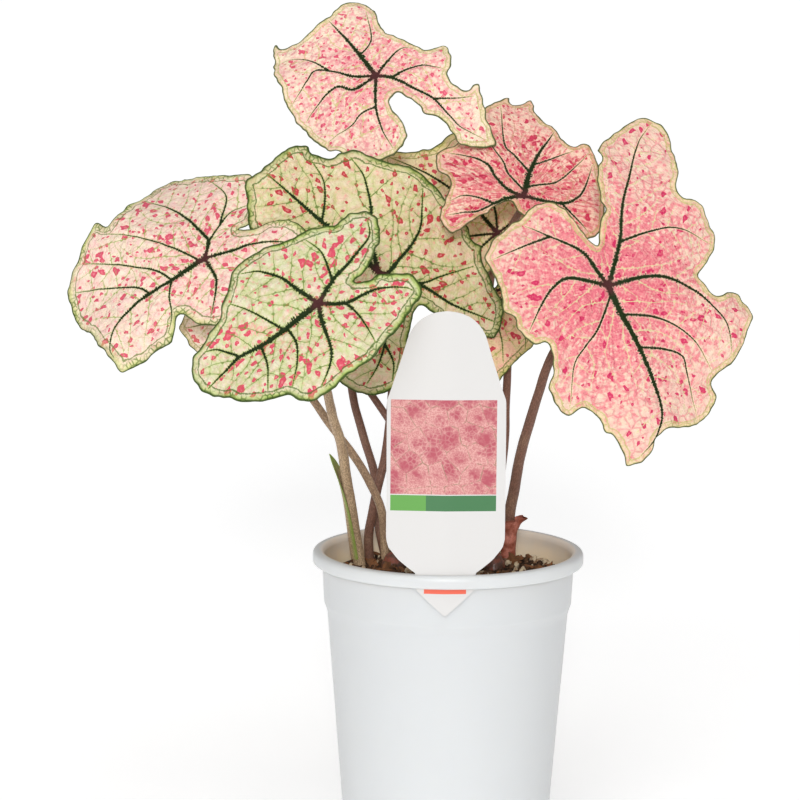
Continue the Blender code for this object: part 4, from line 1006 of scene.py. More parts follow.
def blade_mesh(name, leaf, look, sizes, seed):
    """A blade as a thin closed sheet, with what its material needs to know at each point."""
    rng = np.random.default_rng(seed)
    step = mm(sizes.mesh_step)
    outline = spaced(curve_through(leaf.outline, closed=True), step, closed=True)
    way = unit(np.roll(outline, -1, 0) - np.roll(outline, 1, 0))
    nibble = unevenness(outline, 9 * seed, 3.5) + unevenness(outline, 3 * seed, 9)
    area = 0.5 * np.cross(outline, np.roll(outline, -1, 0)).sum()
    nibble = (nibble - 0.6)[:, None] * math.copysign(0.75, area)
    outline = outline + np.stack([way[:, 1], -way[:, 0]], -1) * nibble
    margin = rim_of(outline)
    veins = [spaced(curve_through(vein), 1.0) for vein in leaf.veins]
    veins = [carried_on(vein, outline, margin, 1.2 * mm(look.band)) for vein in veins]
    widths = [vein_widths(vein, mm(look.midrib), k == 0) for k, vein in enumerate(veins)]
    branches = grown_branches(outline, veins, [], mm(sizes.branch_step), 34, rng)
    twigs = grown_branches(outline, branches, veins, mm(sizes.twig_step), 7, rng)
    flecks = scattered(outline, int(look.flecks * abs(area) / 100), mm(look.fleck_length), 2.6, rng)
    lace = scattered(outline, look.lace, 2.2 * mm(look.fleck_length), 6.0, rng)
    flat, triangles = blade_points(outline, veins + branches + twigs, flecks.middles, step)
    u, v = flat.T
    vein, travel, width = Strokes(veins, widths).read(flat)
    thin_widths = [np.linspace(0.2, 0.05, len(line)) for line in branches]
    thin_widths += [np.linspace(0.03, -0.04, len(line)) for line in twigs]
    thin, _, thin_width = Strokes(branches + twigs, thin_widths).read(flat)
    edge, arc, _ = margin.read(flat)
    edge = -edge
    core = np.maximum(np.hypot(u, v), 0.01)

    away = np.maximum(0, -np.maximum(vein, thin))
    waves = unevenness(flat, 40 * seed, 8) + 0.4 * unevenness(flat, 7 * seed, 3.5)
    height = lift(leaf, u, v) + mm(sizes.crumple) * waves * np.minimum(core / 15, 1)
    ruffle = unevenness(flat, 5 * seed, 6)
    height += mm(look.ruffle) * ruffle * np.exp(-edge / 5) * np.minimum(core / 15, 1)
    height += mm(sizes.cushion) * (1 - np.exp(-((away / 2.0) ** 2))) * np.clip(edge / 9, 0, 1)
    bed = np.exp(-((np.minimum(vein, 0) / 0.8) ** 2)) * np.maximum(0.3, 1 - core / 75)
    upper = height - mm(sizes.groove) * bed
    thick = mm(sizes.thickness) * (0.45 + 0.55 * np.clip(edge / 1.5, 0, 1))
    lower = height - thick - mm(sizes.rib) * bed

    across, along, face = (np.array(way) for way in blade_frame(leaf))
    plane = np.array(leaf.junction) + u[:, None] * across + v[:, None] * along
    points = np.concatenate([plane + upper[:, None] * face, plane + lower[:, None] * face])
    top, under, walls = sheet_faces(triangles, len(flat))
    mesh = mesh_of(name, points, top + under + walls)
    index = [0] * len(top) + [1] * len(under) + [0] * len(walls)
    mesh.polygons.foreach_set("material_index", index)
    for label, values in (
        ("blade", [u + 300 * seed, v, core]),
        ("ray", [u / core, v / core, travel]),
        ("lines", [vein, thin, edge]),
        ("marks", [fleck_distance(flat, flecks), fleck_distance(flat, lace), arc]),
        ("breadth", [width, thin_width, 0 * width]),
    ):
        mark(mesh, label, np.tile(np.stack(values, -1), (2, 1)))
    return mesh


def blade_material(name, look, sizes, under):
    """Ground, streaks, net, flecks, thin veins, margin and main veins, laid over one another."""
    made, graph, shader = new_material(name, 0.62 if under else 0.5, 0.14)
    place = graph.attribute("blade")
    core = graph.parts(place)[2]
    ray = graph.attribute("ray")
    travel = graph.parts(ray)[2]
    vein, thin, edge = graph.parts(graph.attribute("lines"))
    fleck, lace, arc = graph.parts(graph.attribute("marks"))
    width, thin_width, _ = graph.parts(graph.attribute("breadth"))
    band = mm(look.band)

    def over(under_layer, mask, strength, colour_):
        return graph.mix(graph.times(mask, strength), under_layer, colour_)

    grain = graph.patches(place, 1.3, 3.5)
    skin = graph.mix(graph.patches(place, 5.0, 4.0), look.tissue, look.blush)
    patch = graph.patches(place, 2.4, 5.0)
    skin = over(skin, patch, 0.7 * look.haze, look.net)
    haze = graph.ramp(graph.plus(thin, graph.times(grain, 0.6)), -1.0, 0.2)
    skin = over(skin, haze, look.haze, look.net)
    level = graph.ramp(core, 0.1 * mm(look.reach), mm(look.reach), look.wash, 0.0)
    if look.streak:
        fan = graph.minus(graph.use(streaks, ray=ray, core=core), 0.45)
        level = graph.plus(level, graph.times(fan, 0.8 * look.streak))
    level = graph.times(level, graph.ramp(edge, 0.0, band, 0.5, 1.0))
    wash = graph.use(lacy_wash, place=place, level=level, size=2.2)
    skin = over(skin, wash, 0.8, look.flush)
    deep = graph.use(lacy_wash, place=place, level=graph.minus(level, 0.4), size=1.2)
    skin = over(skin, deep, 0.55, look.fleck)
    cracks = graph.use(fine_net, place=place, cell=4.2, line=0.12)
    skin = over(skin, cracks, look.crackle, look.flush)
    net = graph.use(fine_net, place=place, cell=2.2, line=0.1)
    skin = over(skin, net, 0.5 * look.haze, look.net)
    torn = graph.use(fleck_shape, place=place, distance=lace, tear=1.5)
    weave = graph.patches(place, 0.9, 7.0)
    skin = over(skin, graph.times(torn, weave), 0.85, look.flush)
    spots = graph.use(fleck_shape, place=place, distance=fleck, tear=0.5)
    middle = graph.times(graph.ramp(fleck, 0.1, 0.75, 1.0, 0.0), graph.ramp(grain, 0.3, 0.8))
    shade = over(look.fleck, middle, 0.6, look.flush)
    skin = over(skin, spots, 0.95, shade)

    uneven = graph.swing(graph.noise(place, 6.0, 2.0), 2.6)
    inner = graph.plus(edge, uneven)
    green = graph.ramp(inner, 0.1 * band, 1.25 * band, 1.0, 0.0)
    tint = graph.ramp(graph.noise(place, 16.0, 1.0), 0.38, 0.6, 0.45, 0.95)
    skin = over(skin, green, tint, look.margin)
    ladder = graph.use(fine_net, place=place, cell=2.2, line=0.2)
    skin = over(skin, graph.times(ladder, graph.ramp(inner, 0.7 * band, 1.1 * band, 1.0, 0.0)),
                0.85, look.loop)
    shadow = graph.ramp(inner, 0.0, 0.6 * band, 1.0, 0.0)
    skin = over(skin, shadow, 0.4, look.loop)
    loop = graph.maths("ABSOLUTE", graph.minus(inner, 1.1 * band))
    loop = graph.minus(0.24, loop)
    loop = graph.use(ragged_line, place=place, depth=loop, along=arc, teeth=0.25)
    skin = over(skin, loop, 0.85, look.loop)
    twigs = graph.use(ragged_line, place=place, depth=thin, along=core, teeth=0.08)
    skin = over(skin, twigs, graph.ramp(thin_width, -0.04, 0.14, 0.55, 0.95), look.twig)
    fringe = graph.plus(vein, 0.2)
    teeth = graph.ramp(width, 0.0, 1.0, 0.3, 1.3)
    halo = graph.use(ragged_line, place=place, depth=fringe, along=travel, teeth=teeth)
    skin = over(skin, halo, 0.75, look.halo)
    teeth = graph.ramp(width, 0.0, 1.0, 0.16, 0.95)
    main = graph.use(ragged_line, place=place, depth=vein, along=travel, teeth=teeth)
    sap = graph.plus(width, graph.times(vein, 0.5))
    sap = graph.mix(graph.ramp(sap, 0.05, 0.3), look.loop, sizes.vein)
    skin = graph.mix(main, skin, sap)
    knot = graph.times(main, graph.ramp(core, 1.5, 5.5, 1.0, 0.0))
    skin = graph.mix(knot, skin, sizes.junction)
    rim = mm(look.rim)
    line = graph.plus(edge, graph.times(uneven, 0.3))
    skin = over(skin, graph.ramp(line, 0.5 * rim, 1.4 * rim, 1.0, 0.0), 0.9, sizes.outline)
    if under:
        skin = graph.mix(0.4, skin, UNDERSIDE)
    rough = graph.ramp(grain, 0.0, 1.0, 0.45, 0.6)
    graph.dress(shader, skin, graph.minus(grain, cracks), 0.22, rough)
    return made


def stalk_route(leaf):
    """The stalk's centre line, from the tuber's crown into the blade's underside."""
    face = np.array(blade_frame(leaf)[2])
    junction = np.array(leaf.junction)
    foot = (*leaf.stalk[0], CROWN_HEIGHT + CLEARANCE + FOOT_TILT * leaf.foot)
    ends = [junction - face * NECK_LENGTH, junction - face * (BLADE + RIB + CLEARANCE)]
    return curve_through([foot, *leaf.stalk[1:], *ends])


def stalk_radius(leaf, part):
    """The radius of the stalk at a share of its length from the foot."""
    return STALK_NECK + (leaf.foot - STALK_NECK) * (1 - part)


def eased(route, passes=12):
    """The route with its small kinks smoothed out and its ends kept."""
    route = np.array(route)
    for _ in range(passes):
        route[1:-1] = (route[:-2] + 2 * route[1:-1] + route[2:]) / 4
    return route


def swept_mesh(name, route, radii, sides, seed, uneven, tone):
    """A round rod along a route, closed at both ends, with its skin's coordinates."""
    way = unit(np.gradient(route, axis=0))
    beside = Vector(way[0]).orthogonal().normalized()
    points, skin = [], []
    travel = travelled(route)
    for place, ahead, radius, along in zip(route, way, radii, travel):
        ahead = Vector(ahead)
        beside = (beside - ahead * beside.dot(ahead)).normalized()
        third = ahead.cross(beside)
        for side in range(sides):
            angle = 2 * math.pi * side / sides
            away = beside * math.cos(angle) + third * math.sin(angle)
            swell = 1 + uneven * noise.noise(away * 1.5 + Vector((seed, along / 6, 0)))
            points.append(Vector(place) + away * radius * swell)
            skin.append((away.x * radius, away.y * radius, along + 400 * seed))
    faces = []
    for ring in range(len(route) - 1):
        for side in range(sides):
            here, beyond = ring * sides + side, ring * sides + (side + 1) % sides
            faces.append((here, beyond, beyond + sides, here + sides))
    last = (len(route) - 1) * sides
    faces.append(tuple(reversed(range(sides))))
    faces.append(tuple(range(last, last + sides)))
    mesh = mesh_of(name, points, faces, 50)
    mark(mesh, "skin", skin)
    part = np.repeat(travel / travel[-1], sides)
    mark(mesh, "course", np.stack([part, 0 * part + tone, 0 * part], -1))
    return mesh


def speckled(graph, sizes, place, tone):
    """The stalks' skin, from olive to brown, with streaky dark specks, and the specks' mask."""
    skin = graph.mix(graph.ramp(tone, 0.0, 1.0), sizes.olive, sizes.brown)
    stretch = graph.node("VectorMath", {0: place, 1: (1, 1, 0.5)}, 0, operation="MULTIPLY")
    specks = graph.patches(stretch, 0.4, 7.0)
    return graph.mix(graph.times(specks, 0.5), skin, sizes.speck), specks


def stalk_material(sizes):
    """Speckled skin that turns browner upwards, more on some stalks than on others."""
    made, graph, shader = new_material("stalk_skin", 0.5, 0.4)
    place = graph.attribute("skin")
    part, tone, _ = graph.parts(graph.attribute("course"))
    patch = graph.swing(graph.patches(place, 12.0, 2.0), 0.35)
    tone = graph.plus(graph.plus(tone, graph.times(part, 0.35)), patch)
    skin, specks = speckled(graph, sizes, place, tone)
    graph.dress(shader, skin, specks, 0.06, graph.ramp(specks, 0.0, 1.0, 0.45, 0.6))
    return made


def sheath_material(sizes):
    """Speckled like the stalk, with a fresh green edge and tip."""
    made, graph, shader = new_material("sheath_green", 0.5, 0.4)
    place = graph.place()
    part, side, _ = graph.parts(graph.attribute("course"))
    skin, specks = speckled(graph, sizes, place, graph.times(part, 0.2))
    edge = graph.ramp(graph.maths("ABSOLUTE", side), 0.55, 0.95)
    tip = graph.ramp(part, 0.7, 0.95)
    green = graph.maths("MAXIMUM", edge, tip)
    skin = graph.mix(graph.times(green, 0.85), skin, sizes.sheath)
    graph.dress(shader, skin, specks, 0.06)
    return made


def skin_material(name, base, dark, roughness, coat=0.0):
    """The patchy, faintly rough skin of a dry sheath or a bud."""
    made, graph, shader = new_material(name, roughness)
    place = graph.place()
    patches = graph.patches(place, 3.0, 3.5)
    skin = graph.mix(patches, dark, base)
    fine = graph.patches(place, 0.6, 4.0)
    skin = graph.mix(graph.times(fine, 0.35), skin, dark)
    graph.dress(shader, skin, fine, 0.08)
    shader.inputs["Coat Weight"].default_value = coat
    shader.inputs["Coat Roughness"].default_value = 0.2
    return made


def sheath_mesh(name, form, crumple, rows=40, columns=20):
    """A half-tube that wraps the foot of a stalk and opens towards its tip."""
    leaf = LEAVES[form.leaf]
    route = eased(spaced(stalk_route(leaf), 1.0), 20)
    blunt = form.taper > BLUNT_TAPER
    points, course = [], []
    for row in range(rows + 1):
        part = row / rows
        spot = form.start + part * form.length
        here = np.array([np.interp(spot, np.arange(len(route)), column) for column in route.T])
        near = int(spot)
        tangent = Vector(route[near + 1] - route[near - 1]).normalized()
        facing = Vector(form.facing)
        facing = (facing - tangent * facing.dot(tangent)).normalized()
        beside = tangent.cross(facing)
        inner = stalk_radius(leaf, spot / len(route)) + 0.2 + form.flare * part ** (2 if blunt else 5)
        half = math.radians(form.spread) * (1 - part**form.taper) + (0.9 if blunt else 0.03)
        for wall in (inner, inner + 0.25 + 0.35 * (1 - part)):
            for column in range(columns + 1):
                side = 2 * column / columns - 1
                away = facing * math.cos(half * side) + beside * math.sin(half * side)
                ripple = crumple * part * noise.noise(Vector((1.6 * side, 4 * part, 8)))
                points.append(Vector(here) + away * (wall + ripple))
                course.append((part, side, 0))
    width = columns + 1
    ahead = 2 * width
    faces = []
    for row in range(rows):
        inner, outer = row * ahead, row * ahead + width
        for k in range(columns):
            i, o = inner + k, outer + k
            faces.append((i, i + ahead, i + ahead + 1, i + 1))
            faces.append((o, o + 1, o + ahead + 1, o + ahead))
        i, o = inner + columns, outer + columns
        faces.append((inner, outer, outer + ahead, inner + ahead))
        faces.append((i, i + ahead, o + ahead, o))
    top = rows * ahead
    for k in range(columns):
        faces.append((k, k + 1, k + 1 + width, k + width))
        faces.append((top + k, top + k + width, top + k + 1 + width, top + k + 1))
    mesh = mesh_of(name, points, faces, 50)
    mark(mesh, "course", course)
    return mesh


def turned_faces(sides, rings):
    """The faces of a turned solid that has a point at each end of its axis and rings between them."""
    faces = []
    for side in range(sides):
        ahead = (side + 1) % sides
        faces.append((0, 1 + side, 1 + ahead))
        for ring in range(rings - 1):
            high, low = 1 + ring * sides, 1 + (ring + 1) * sides
            faces.append((high + side, low + side, low + ahead, high + ahead))
        low = 1 + (rings - 1) * sides
        faces.append((low + side, low + sides, low + ahead))
    return faces


def circle(radius, sides):
    angles = [2 * math.pi * side / sides for side in range(sides)]
    return [(radius * math.cos(angle), radius * math.sin(angle)) for angle in angles]


def lathe_mesh(name, profile, sides, middle=(0, 0), uneven=None):
    """A solid turned about a vertical axis. The profile starts and ends on the axis."""
    points = [(*middle, profile[0][1])]
    for radius, height in profile[1:-1]:
        for side in range(sides):
            angle = 2 * math.pi * side / sides
            reach = radius * (uneven(angle, height) if uneven else 1)
            spot = (middle[0] + reach * math.cos(angle), middle[1] + reach * math.sin(angle), height)
            points.append(spot)
    points.append((*middle, profile[-1][1]))
    return mesh_of(name, points, turned_faces(sides, len(profile) - 2))


def joined(name, meshes):
    """One mesh from several."""
    points, faces = [], []
    for mesh in meshes:
        start = len(points)
        points += [vertex.co / MM for vertex in mesh.vertices]
        faces += [tuple(start + k for k in polygon.vertices) for polygon in mesh.polygons]
    return mesh_of(name, points, faces)


def tuber_mesh(name, form):
    """The tuber's rounded body and the blunt scaly bud on its crown."""
    first = math.asin(CROWN_RADIUS / TUBER_RADIUS)
    body = [(0, CROWN_HEIGHT)]
    for ring in range(TUBER_RINGS):
        angle = first + (math.pi - first) * ring / TUBER_RINGS
        fall = (math.cos(first) - math.cos(angle)) / (1 + math.cos(first))
        body.append((TUBER_RADIUS * math.sin(angle), CROWN_HEIGHT - TUBER_DEPTH * fall))
    body.append((0, CROWN_HEIGHT - TUBER_DEPTH))
    low = CROWN_HEIGHT - 3
    scales = [(0, form.bud_top)]
    for ring in range(1, BUD_RINGS + 1):
        angle = math.pi / 2 * ring / BUD_RINGS
        lap = 1 - 0.07 * ((ring / BUD_RINGS * BUD_SCALES) % 1)
        height = low + (form.bud_top - low) * math.cos(angle)
        scales.append((form.bud_radius * math.sin(angle) ** 0.8 * lap, height))
    scales.append((0, low))

    def lumpy(angle, height):
        spot = Vector((math.cos(angle), math.sin(angle), height / 6))
        return 1 + 0.06 * noise.noise(spot * 1.6)

    bud = lathe_mesh(name + "_bud", scales, 40, form.bud, lumpy)
    return joined(name, [lathe_mesh(name + "_body", body, 40, form.middle, lumpy), bud])


def wall_radius(height):
    """The outer radius of the pot's wall under its rim."""
    if height >= COLLAR_LOW:
        return COLLAR_RADIUS - (RIM_LOW - height) * WALL_SLOPE
    return BASE_RADIUS + (STEP_RADIUS - BASE_RADIUS) * min(height / STEP_HEIGHT, 1)


def rounded(profile, radius):
    """The profile with its corners rounded off."""
    points = [profile[0]]
    for before, corner, after in zip(profile, profile[1:], profile[2:]):
        before, corner, after = (np.array(point, float) for point in (before, corner, after))
        reach = min(radius, 0.45 * np.hypot(*(corner - before)), 0.45 * np.hypot(*(after - corner)))
        start = corner + (before - corner) * reach / np.hypot(*(before - corner))
        end = corner + (after - corner) * reach / np.hypot(*(after - corner))
        for t in (0, 0.33, 0.67, 1):
            points.append(tuple((1 - t) ** 2 * start + 2 * t * (1 - t) * corner + t**2 * end))
    return points + [profile[-1]]


def pot_profile():
    """From the middle of the inside up over the rolled rim and down to the middle of the base."""
    return [
        (0, FLOOR),
        (BASE_RADIUS - 3.2, FLOOR),
        (BASE_RADIUS - 1.3, FLOOR + 1.8),
        (STEP_RADIUS - WALL, STEP_HEIGHT),
        (wall_radius(COLLAR_LOW) - WALL, COLLAR_LOW + 0.4),
        (COLLAR_RADIUS - WALL, RIM_LOW),
        (COLLAR_RADIUS - WALL, POT_HEIGHT - 2.2),
        (COLLAR_RADIUS - WALL + 0.5, POT_HEIGHT - 0.9),
        (COLLAR_RADIUS + 0.2, POT_HEIGHT - 0.1),
        (RIM_RADIUS - 2, POT_HEIGHT),
        (RIM_RADIUS - 0.6, POT_HEIGHT - 0.5),
        (RIM_RADIUS, POT_HEIGHT - 1.8),
        (RIM_RADIUS - 0.1, RIM_LOW + 0.7),
        (RIM_RADIUS - 0.5, RIM_LOW),
        (RIM_RADIUS - 1.1, RIM_LOW),
        (RIM_RADIUS - 1.1, POT_HEIGHT - 1.8),
        (COLLAR_RADIUS + 0.4, POT_HEIGHT - 1.5),
        (COLLAR_RADIUS, POT_HEIGHT - 2.2),
        (COLLAR_RADIUS, RIM_LOW),
        (wall_radius(COLLAR_LOW), COLLAR_LOW),
        (wall_radius(COLLAR_LOW) - 0.5, COLLAR_LOW - 1.2),
        (STEP_RADIUS + 0.1, STEP_HEIGHT + 0.6),
        (STEP_RADIUS - 0.1, STEP_HEIGHT - 0.6),
        (wall_radius(2.6), 2.6),
        (BASE_RADIUS - 0.5, 0.8),
        (BASE_RADIUS - 2.2, 0),
        (0, 0),
    ]


def label_depth(x):
    """The label's middle plane, folded along its centre line so that its sides lie further back."""
    return LABEL_FRONT + LABEL_FOLD * abs(x)


def slot_cutter():
    """The label's slot through the top of the rim."""
    half, edge = LABEL_HALF + CLEARANCE, SLOT_HALF_WIDTH
    plan = [(-edge, -half), (0, -half), (edge, -half), (edge, half), (0, half), (-edge, half)]
    points = []
    for height in (POT_HEIGHT - 2.6, POT_HEIGHT + 2):
        points += [(LABEL_MIDDLE + x, label_depth(x) + y, height) for x, y in plan]
    walls = [(i, (i + 1) % 6, (i + 1) % 6 + 6, i + 6) for i in range(6)]
    caps = [(1, 0, 5, 4), (2, 1, 4, 3), (6, 7, 10, 11), (7, 8, 9, 10)]
    return mesh_of("slot", points, walls + caps)


def cut_out(target, cutters):
    """Cuts each mesh out of the target and keeps the result."""
    for mesh in cutters:
        cutter = bpy.data.objects.new(mesh.name, mesh)
        bpy.context.scene.collection.objects.link(cutter)
        modifier = target.modifiers.new(mesh.name, "BOOLEAN")
        modifier.operation = "DIFFERENCE"
        modifier.object = cutter
        with bpy.context.temp_override(object=target, active_object=target):
            bpy.ops.object.modifier_apply(modifier=modifier.name)
        bpy.data.objects.remove(cutter)
        bpy.data.meshes.remove(mesh)
    target.data.set_sharp_from_angle(angle=math.radians(40))


def pot_material(settings):
    """Smooth translucent white plastic, a little uneven, with a warm tint inside that is partly a soil
    smudge and partly painted warm light, strongest by the soil.
    """
    made, graph, shader = new_material("pot_plastic", 0.36, 0.5)
    place = graph.place()
    x, y, z = graph.parts(place)
    normal_x, normal_y, _ = graph.parts(graph.node("NewGeometry", {}, "Normal"))
    outward = graph.plus(graph.times(x, normal_x), graph.times(y, normal_y))
    # Painted warm light: the inside wall is tinted paler and warmer, most by the soil, with a little soil
    # smudge in it
    within = graph.ramp(outward, -20.0, 5.0, 1.0, 0.0)
    low = graph.ramp(z, SOIL_EDGE, POT_HEIGHT, 1.0, 0.5)
    cloud = graph.patches(place, 9.0, 2.0)
    tint = graph.times(graph.times(within, low), graph.ramp(cloud, 0.0, 1.0, 0.8, 1.0))
    base = graph.mix(graph.ramp(cloud, 0.0, 1.0, 0.0, 0.04), settings.plastic, (0.60, 0.62, 0.64))
    fine = graph.noise(place, 0.9, 3.0)
    rough = graph.ramp(fine, 0.3, 0.7, 0.32, 0.42)
    graph.dress(shader, graph.mix(tint, base, settings.smudge_and_inner_light), fine, 0.015, rough)
    shader.inputs["Subsurface Weight"].default_value = 0.5
    shader.inputs["Subsurface Radius"].default_value = (1.0, 0.95, 0.85)
    shader.inputs["Subsurface Scale"].default_value = 3 * MM
    return made


def soil_height(x, y):
    """The soil's top, a low mound with lumps and crumbly grit."""
    away = math.hypot(x, y) / COLLAR_RADIUS
    lumps = SOIL_LUMPS * noise.noise(Vector((x, y, 0)) / LUMP_SIZE)
    grit = 0.9 * noise.noise(Vector((x, y, 7)) / 3.1) + 0.45 * noise.noise(Vector((x, y, 3)) / 1.3)
    return SOIL_EDGE + SOIL_MOUND * (1 - away**2) + lumps + grit * min(1, 6 * (1.02 - away))


def soil_mesh(settings):
    """The filled mass inside the pot, with a crumbly top."""
    edge = wall_radius(SOIL_EDGE) - WALL - CLEARANCE - 0.2
    rings = round(edge / mm(settings.mesh_step))
    sides = round(2 * math.pi * edge / mm(settings.mesh_step))
    points = [(0, 0, soil_height(0, 0))]
    for ring in range(1, rings + 1):
        points += [(x, y, soil_height(x, y)) for x, y in circle(edge * ring / rings, sides)]
    wall = [
        (edge, SOIL_EDGE - 3),
        (wall_radius(COLLAR_LOW) - WALL - CLEARANCE - 0.1, COLLAR_LOW + 0.5),
        (STEP_RADIUS - WALL - CLEARANCE - 0.1, STEP_HEIGHT - 0.1),
        (BASE_RADIUS - 1.4 - CLEARANCE, FLOOR + 2),
        (BASE_RADIUS - 3.2 - CLEARANCE, FLOOR + CLEARANCE),
    ]
    for radius, height in wall:
        points += [(x, y, height) for x, y in circle(radius, sides)]
    points.append((0, 0, FLOOR + CLEARANCE))
    return mesh_of("soil_bed", points, turned_faces(sides, rings + len(wall)), 180)


def lump_shapes(rng, count):
    """A few uneven lumps to copy, as points round the origin, and their faces."""
    bpy.ops.mesh.primitive_ico_sphere_add(subdivisions=2, radius=1)
    ball = bpy.context.object
    points = np.array([tuple(vertex.co) for vertex in ball.data.vertices])
    faces = np.array([tuple(polygon.vertices) for polygon in ball.data.polygons])
    bpy.data.objects.remove(ball)
    shapes = []
    for _ in range(count):
        shift = Vector(rng.random(3) * 50)
        swell = [1 + 0.75 * noise.noise(Vector(point) * 1.1 + shift) for point in points]
        shapes.append(points * np.array(swell)[:, None])
    return shapes, faces


def strewn_mesh(name, count, half, stretch, sink, seed):
    """Loose bits strewn over the soil, clear of the stalks and the wall."""
    rng = np.random.default_rng(seed)
    shapes, faces = lump_shapes(rng, LUMP_KINDS)
    feet = [np.array(leaf.stalk[0]) for leaf in LEAVES.values()]
    reach = wall_radius(SOIL_EDGE) - WALL - WALL_ROOM
    all_points, all_faces = [], []
    for k in range(count):
        angle, away = 2 * math.pi * rng.random(), reach * math.sqrt(rng.random())
        spot = np.array([away * math.cos(angle), away * math.sin(angle)])
        size = half * (0.45 + 1.1 * rng.random() ** 2)
        turn = np.array(Matrix.Rotation(rng.random() * 6.3, 3, Vector(rng.normal(size=3))))
        scale = np.array(stretch) * rng.uniform(0.8, 1.25, 3) * size
        if any(np.hypot(*(spot - foot)) < STALK_ROOM for foot in feet):
            continue
        middle = np.array([*spot, soil_height(*spot) + size * sink])
        all_faces.append(faces + len(all_points) * len(shapes[0]))
        all_points.append((shapes[k % LUMP_KINDS] * scale) @ turn.T + middle)
    return mesh_of(name, np.concatenate(all_points), np.concatenate(all_faces).tolist(), 60)


def crumb_material(name, base, other, size):
    """Earthy colours in patches, with a rough surface."""
    made, graph, shader = new_material(name, 0.9, 0.2)
    place = graph.place()
    patches = graph.patches(place, size, 4.0)
    skin = graph.mix(patches, base, other)
    fine = graph.patches(place, 0.5, 4.0)
    skin = graph.mix(graph.times(fine, 0.5), skin, base)
    graph.dress(shader, skin, fine, 0.25)
    return made


def label_outline():
    """The label's board and stem, half of it mirrored."""
    dome = curve_through([(0, 231), (5, 230.2), (9.5, 228.2), (13, 225), (15.4, 221)])
    stem = [
        (18.4, 211), (22.6, 198.2), (23.8, 195), (23.9, 185), (23.9, 165), (23.9, 146), (23.9, 138.5),
        (23, 135), (19, 130), (15, 126.7), (12.1, 124.6), (12.1, 121), (11.8, 117.8), (6, 112), (0, 106.7),
    ]
    right = np.concatenate([dome, stem])
    left = right[1:-1][::-1] * (-1, 1)
    return spaced(np.concatenate([right, left])[::-1], 1.5, closed=True)


def label_mesh():
    """A thin sheet with a crease down its middle."""
    outline = label_outline()
    crease = spaced(np.array([(0.0, 107.8), (0.0, 229.8)]), 2.0)
    flat, triangles = blade_points(outline, [crease], crease[:0], 3.0)
    x, z = flat.T
    edge = -rim_of(outline).read(flat)[0]
    half = LABEL_HALF * (0.6 + 0.4 * np.clip(edge / 0.8, 0, 1))
    y = label_depth(x)
    front = np.stack([LABEL_MIDDLE + x, y - half, z], -1)
    back = np.stack([LABEL_MIDDLE + x, y + half, z], -1)
    mesh = mesh_of("label_board", np.concatenate([front, back]), sum(sheet_faces(triangles, len(flat)), []))
    side = np.repeat([1.0, 0.0], len(flat))
    mark(mesh, "board", np.stack([np.tile(x, 2), np.tile(z, 2), side], -1))
    return mesh


def label_material(settings):
    """White plastic with a panel of pink petals, a two-tone band and a short strip."""
    made, graph, shader = new_material("label_plastic", 0.35, 0.5)
    place = graph.attribute("board")
    x, z, front = graph.parts(place)

    def box(low_x, high_x, low_z, high_z):
        mask = front
        for value, low, high in ((x, low_x, high_x), (z, low_z, high_z)):
            mask = graph.times(mask, graph.maths("GREATER_THAN", value, low))
            mask = graph.times(mask, graph.maths("LESS_THAN", value, high))
        return mask

    fine = graph.noise(graph.place(), 1.2, 3.0)
    skin = graph.mix(graph.ramp(fine, 0.3, 0.7, 0.0, 0.05), settings.board, (0.6, 0.58, 0.52))
    inputs = {"Vector": place, "Scale": 0.13, "Randomness": 0.8}
    flat = {"voronoi_dimensions": "2D"}
    tone = graph.parts(graph.node("TexVoronoi", inputs, "Color", **flat))[0]
    middle = graph.node("TexVoronoi", inputs, "Distance", **flat)
    away = graph.node("TexVoronoi", inputs, "Distance", feature="DISTANCE_TO_EDGE", **flat)
    cloud = graph.swing(graph.noise(place, 2.0, 3.0), 1.6)
    depth = graph.plus(graph.times(tone, 0.5), graph.plus(middle, cloud))
    petals = graph.mix(graph.ramp(depth, 0.2, 1.0), settings.deep_petal, settings.petal)
    specks = graph.patches(place, 0.55, 7.0)
    petals = graph.mix(graph.times(specks, 0.5), petals, settings.deep_petal)
    threads = graph.use(fine_net, place=place, cell=1.8, line=0.2)
    petals = graph.mix(graph.times(threads, 0.2), petals, (0.86, 0.60, 0.52))
    edges = graph.times(graph.ramp(away, 0.01, 0.04, 1.0, 0.0), graph.ramp(cloud, -0.2, 0.3))
    petals = graph.mix(graph.times(edges, 0.8), petals, settings.joint)
    for corners, paint in (
        (PANEL, petals), (BAND, settings.band), (LIGHT_BAND, settings.light_band), (STRIP, settings.strip)
    ):
        skin = graph.mix(box(*corners), skin, paint)
    graph.dress(shader, skin, fine, 0.01, graph.ramp(fine, 0.3, 0.7, 0.3, 0.4))
    return made


class CALADIUM_OT_leaves(Operator):
    """Make the nine leaf blades"""

    bl_idname = "caladium.leaves"
    bl_label = "Leaf blades"

    def execute(self, context):
        sizes = context.scene.caladium_blades
        for seed, (name, leaf) in enumerate(LEAVES.items()):
            look = getattr(context.scene, f"caladium_look_{name}")
            mesh = blade_mesh(f"blade_{name}", leaf, look, sizes, seed + 1)
            faces = [blade_material(f"blade_{name}_{side}", look, sizes, side == "under")
                     for side in ("upper", "under")]
            made = new_object(f"blade_{name}", mesh, faces)
            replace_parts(made, f"leaf_{name}")
        return {"FINISHED"}


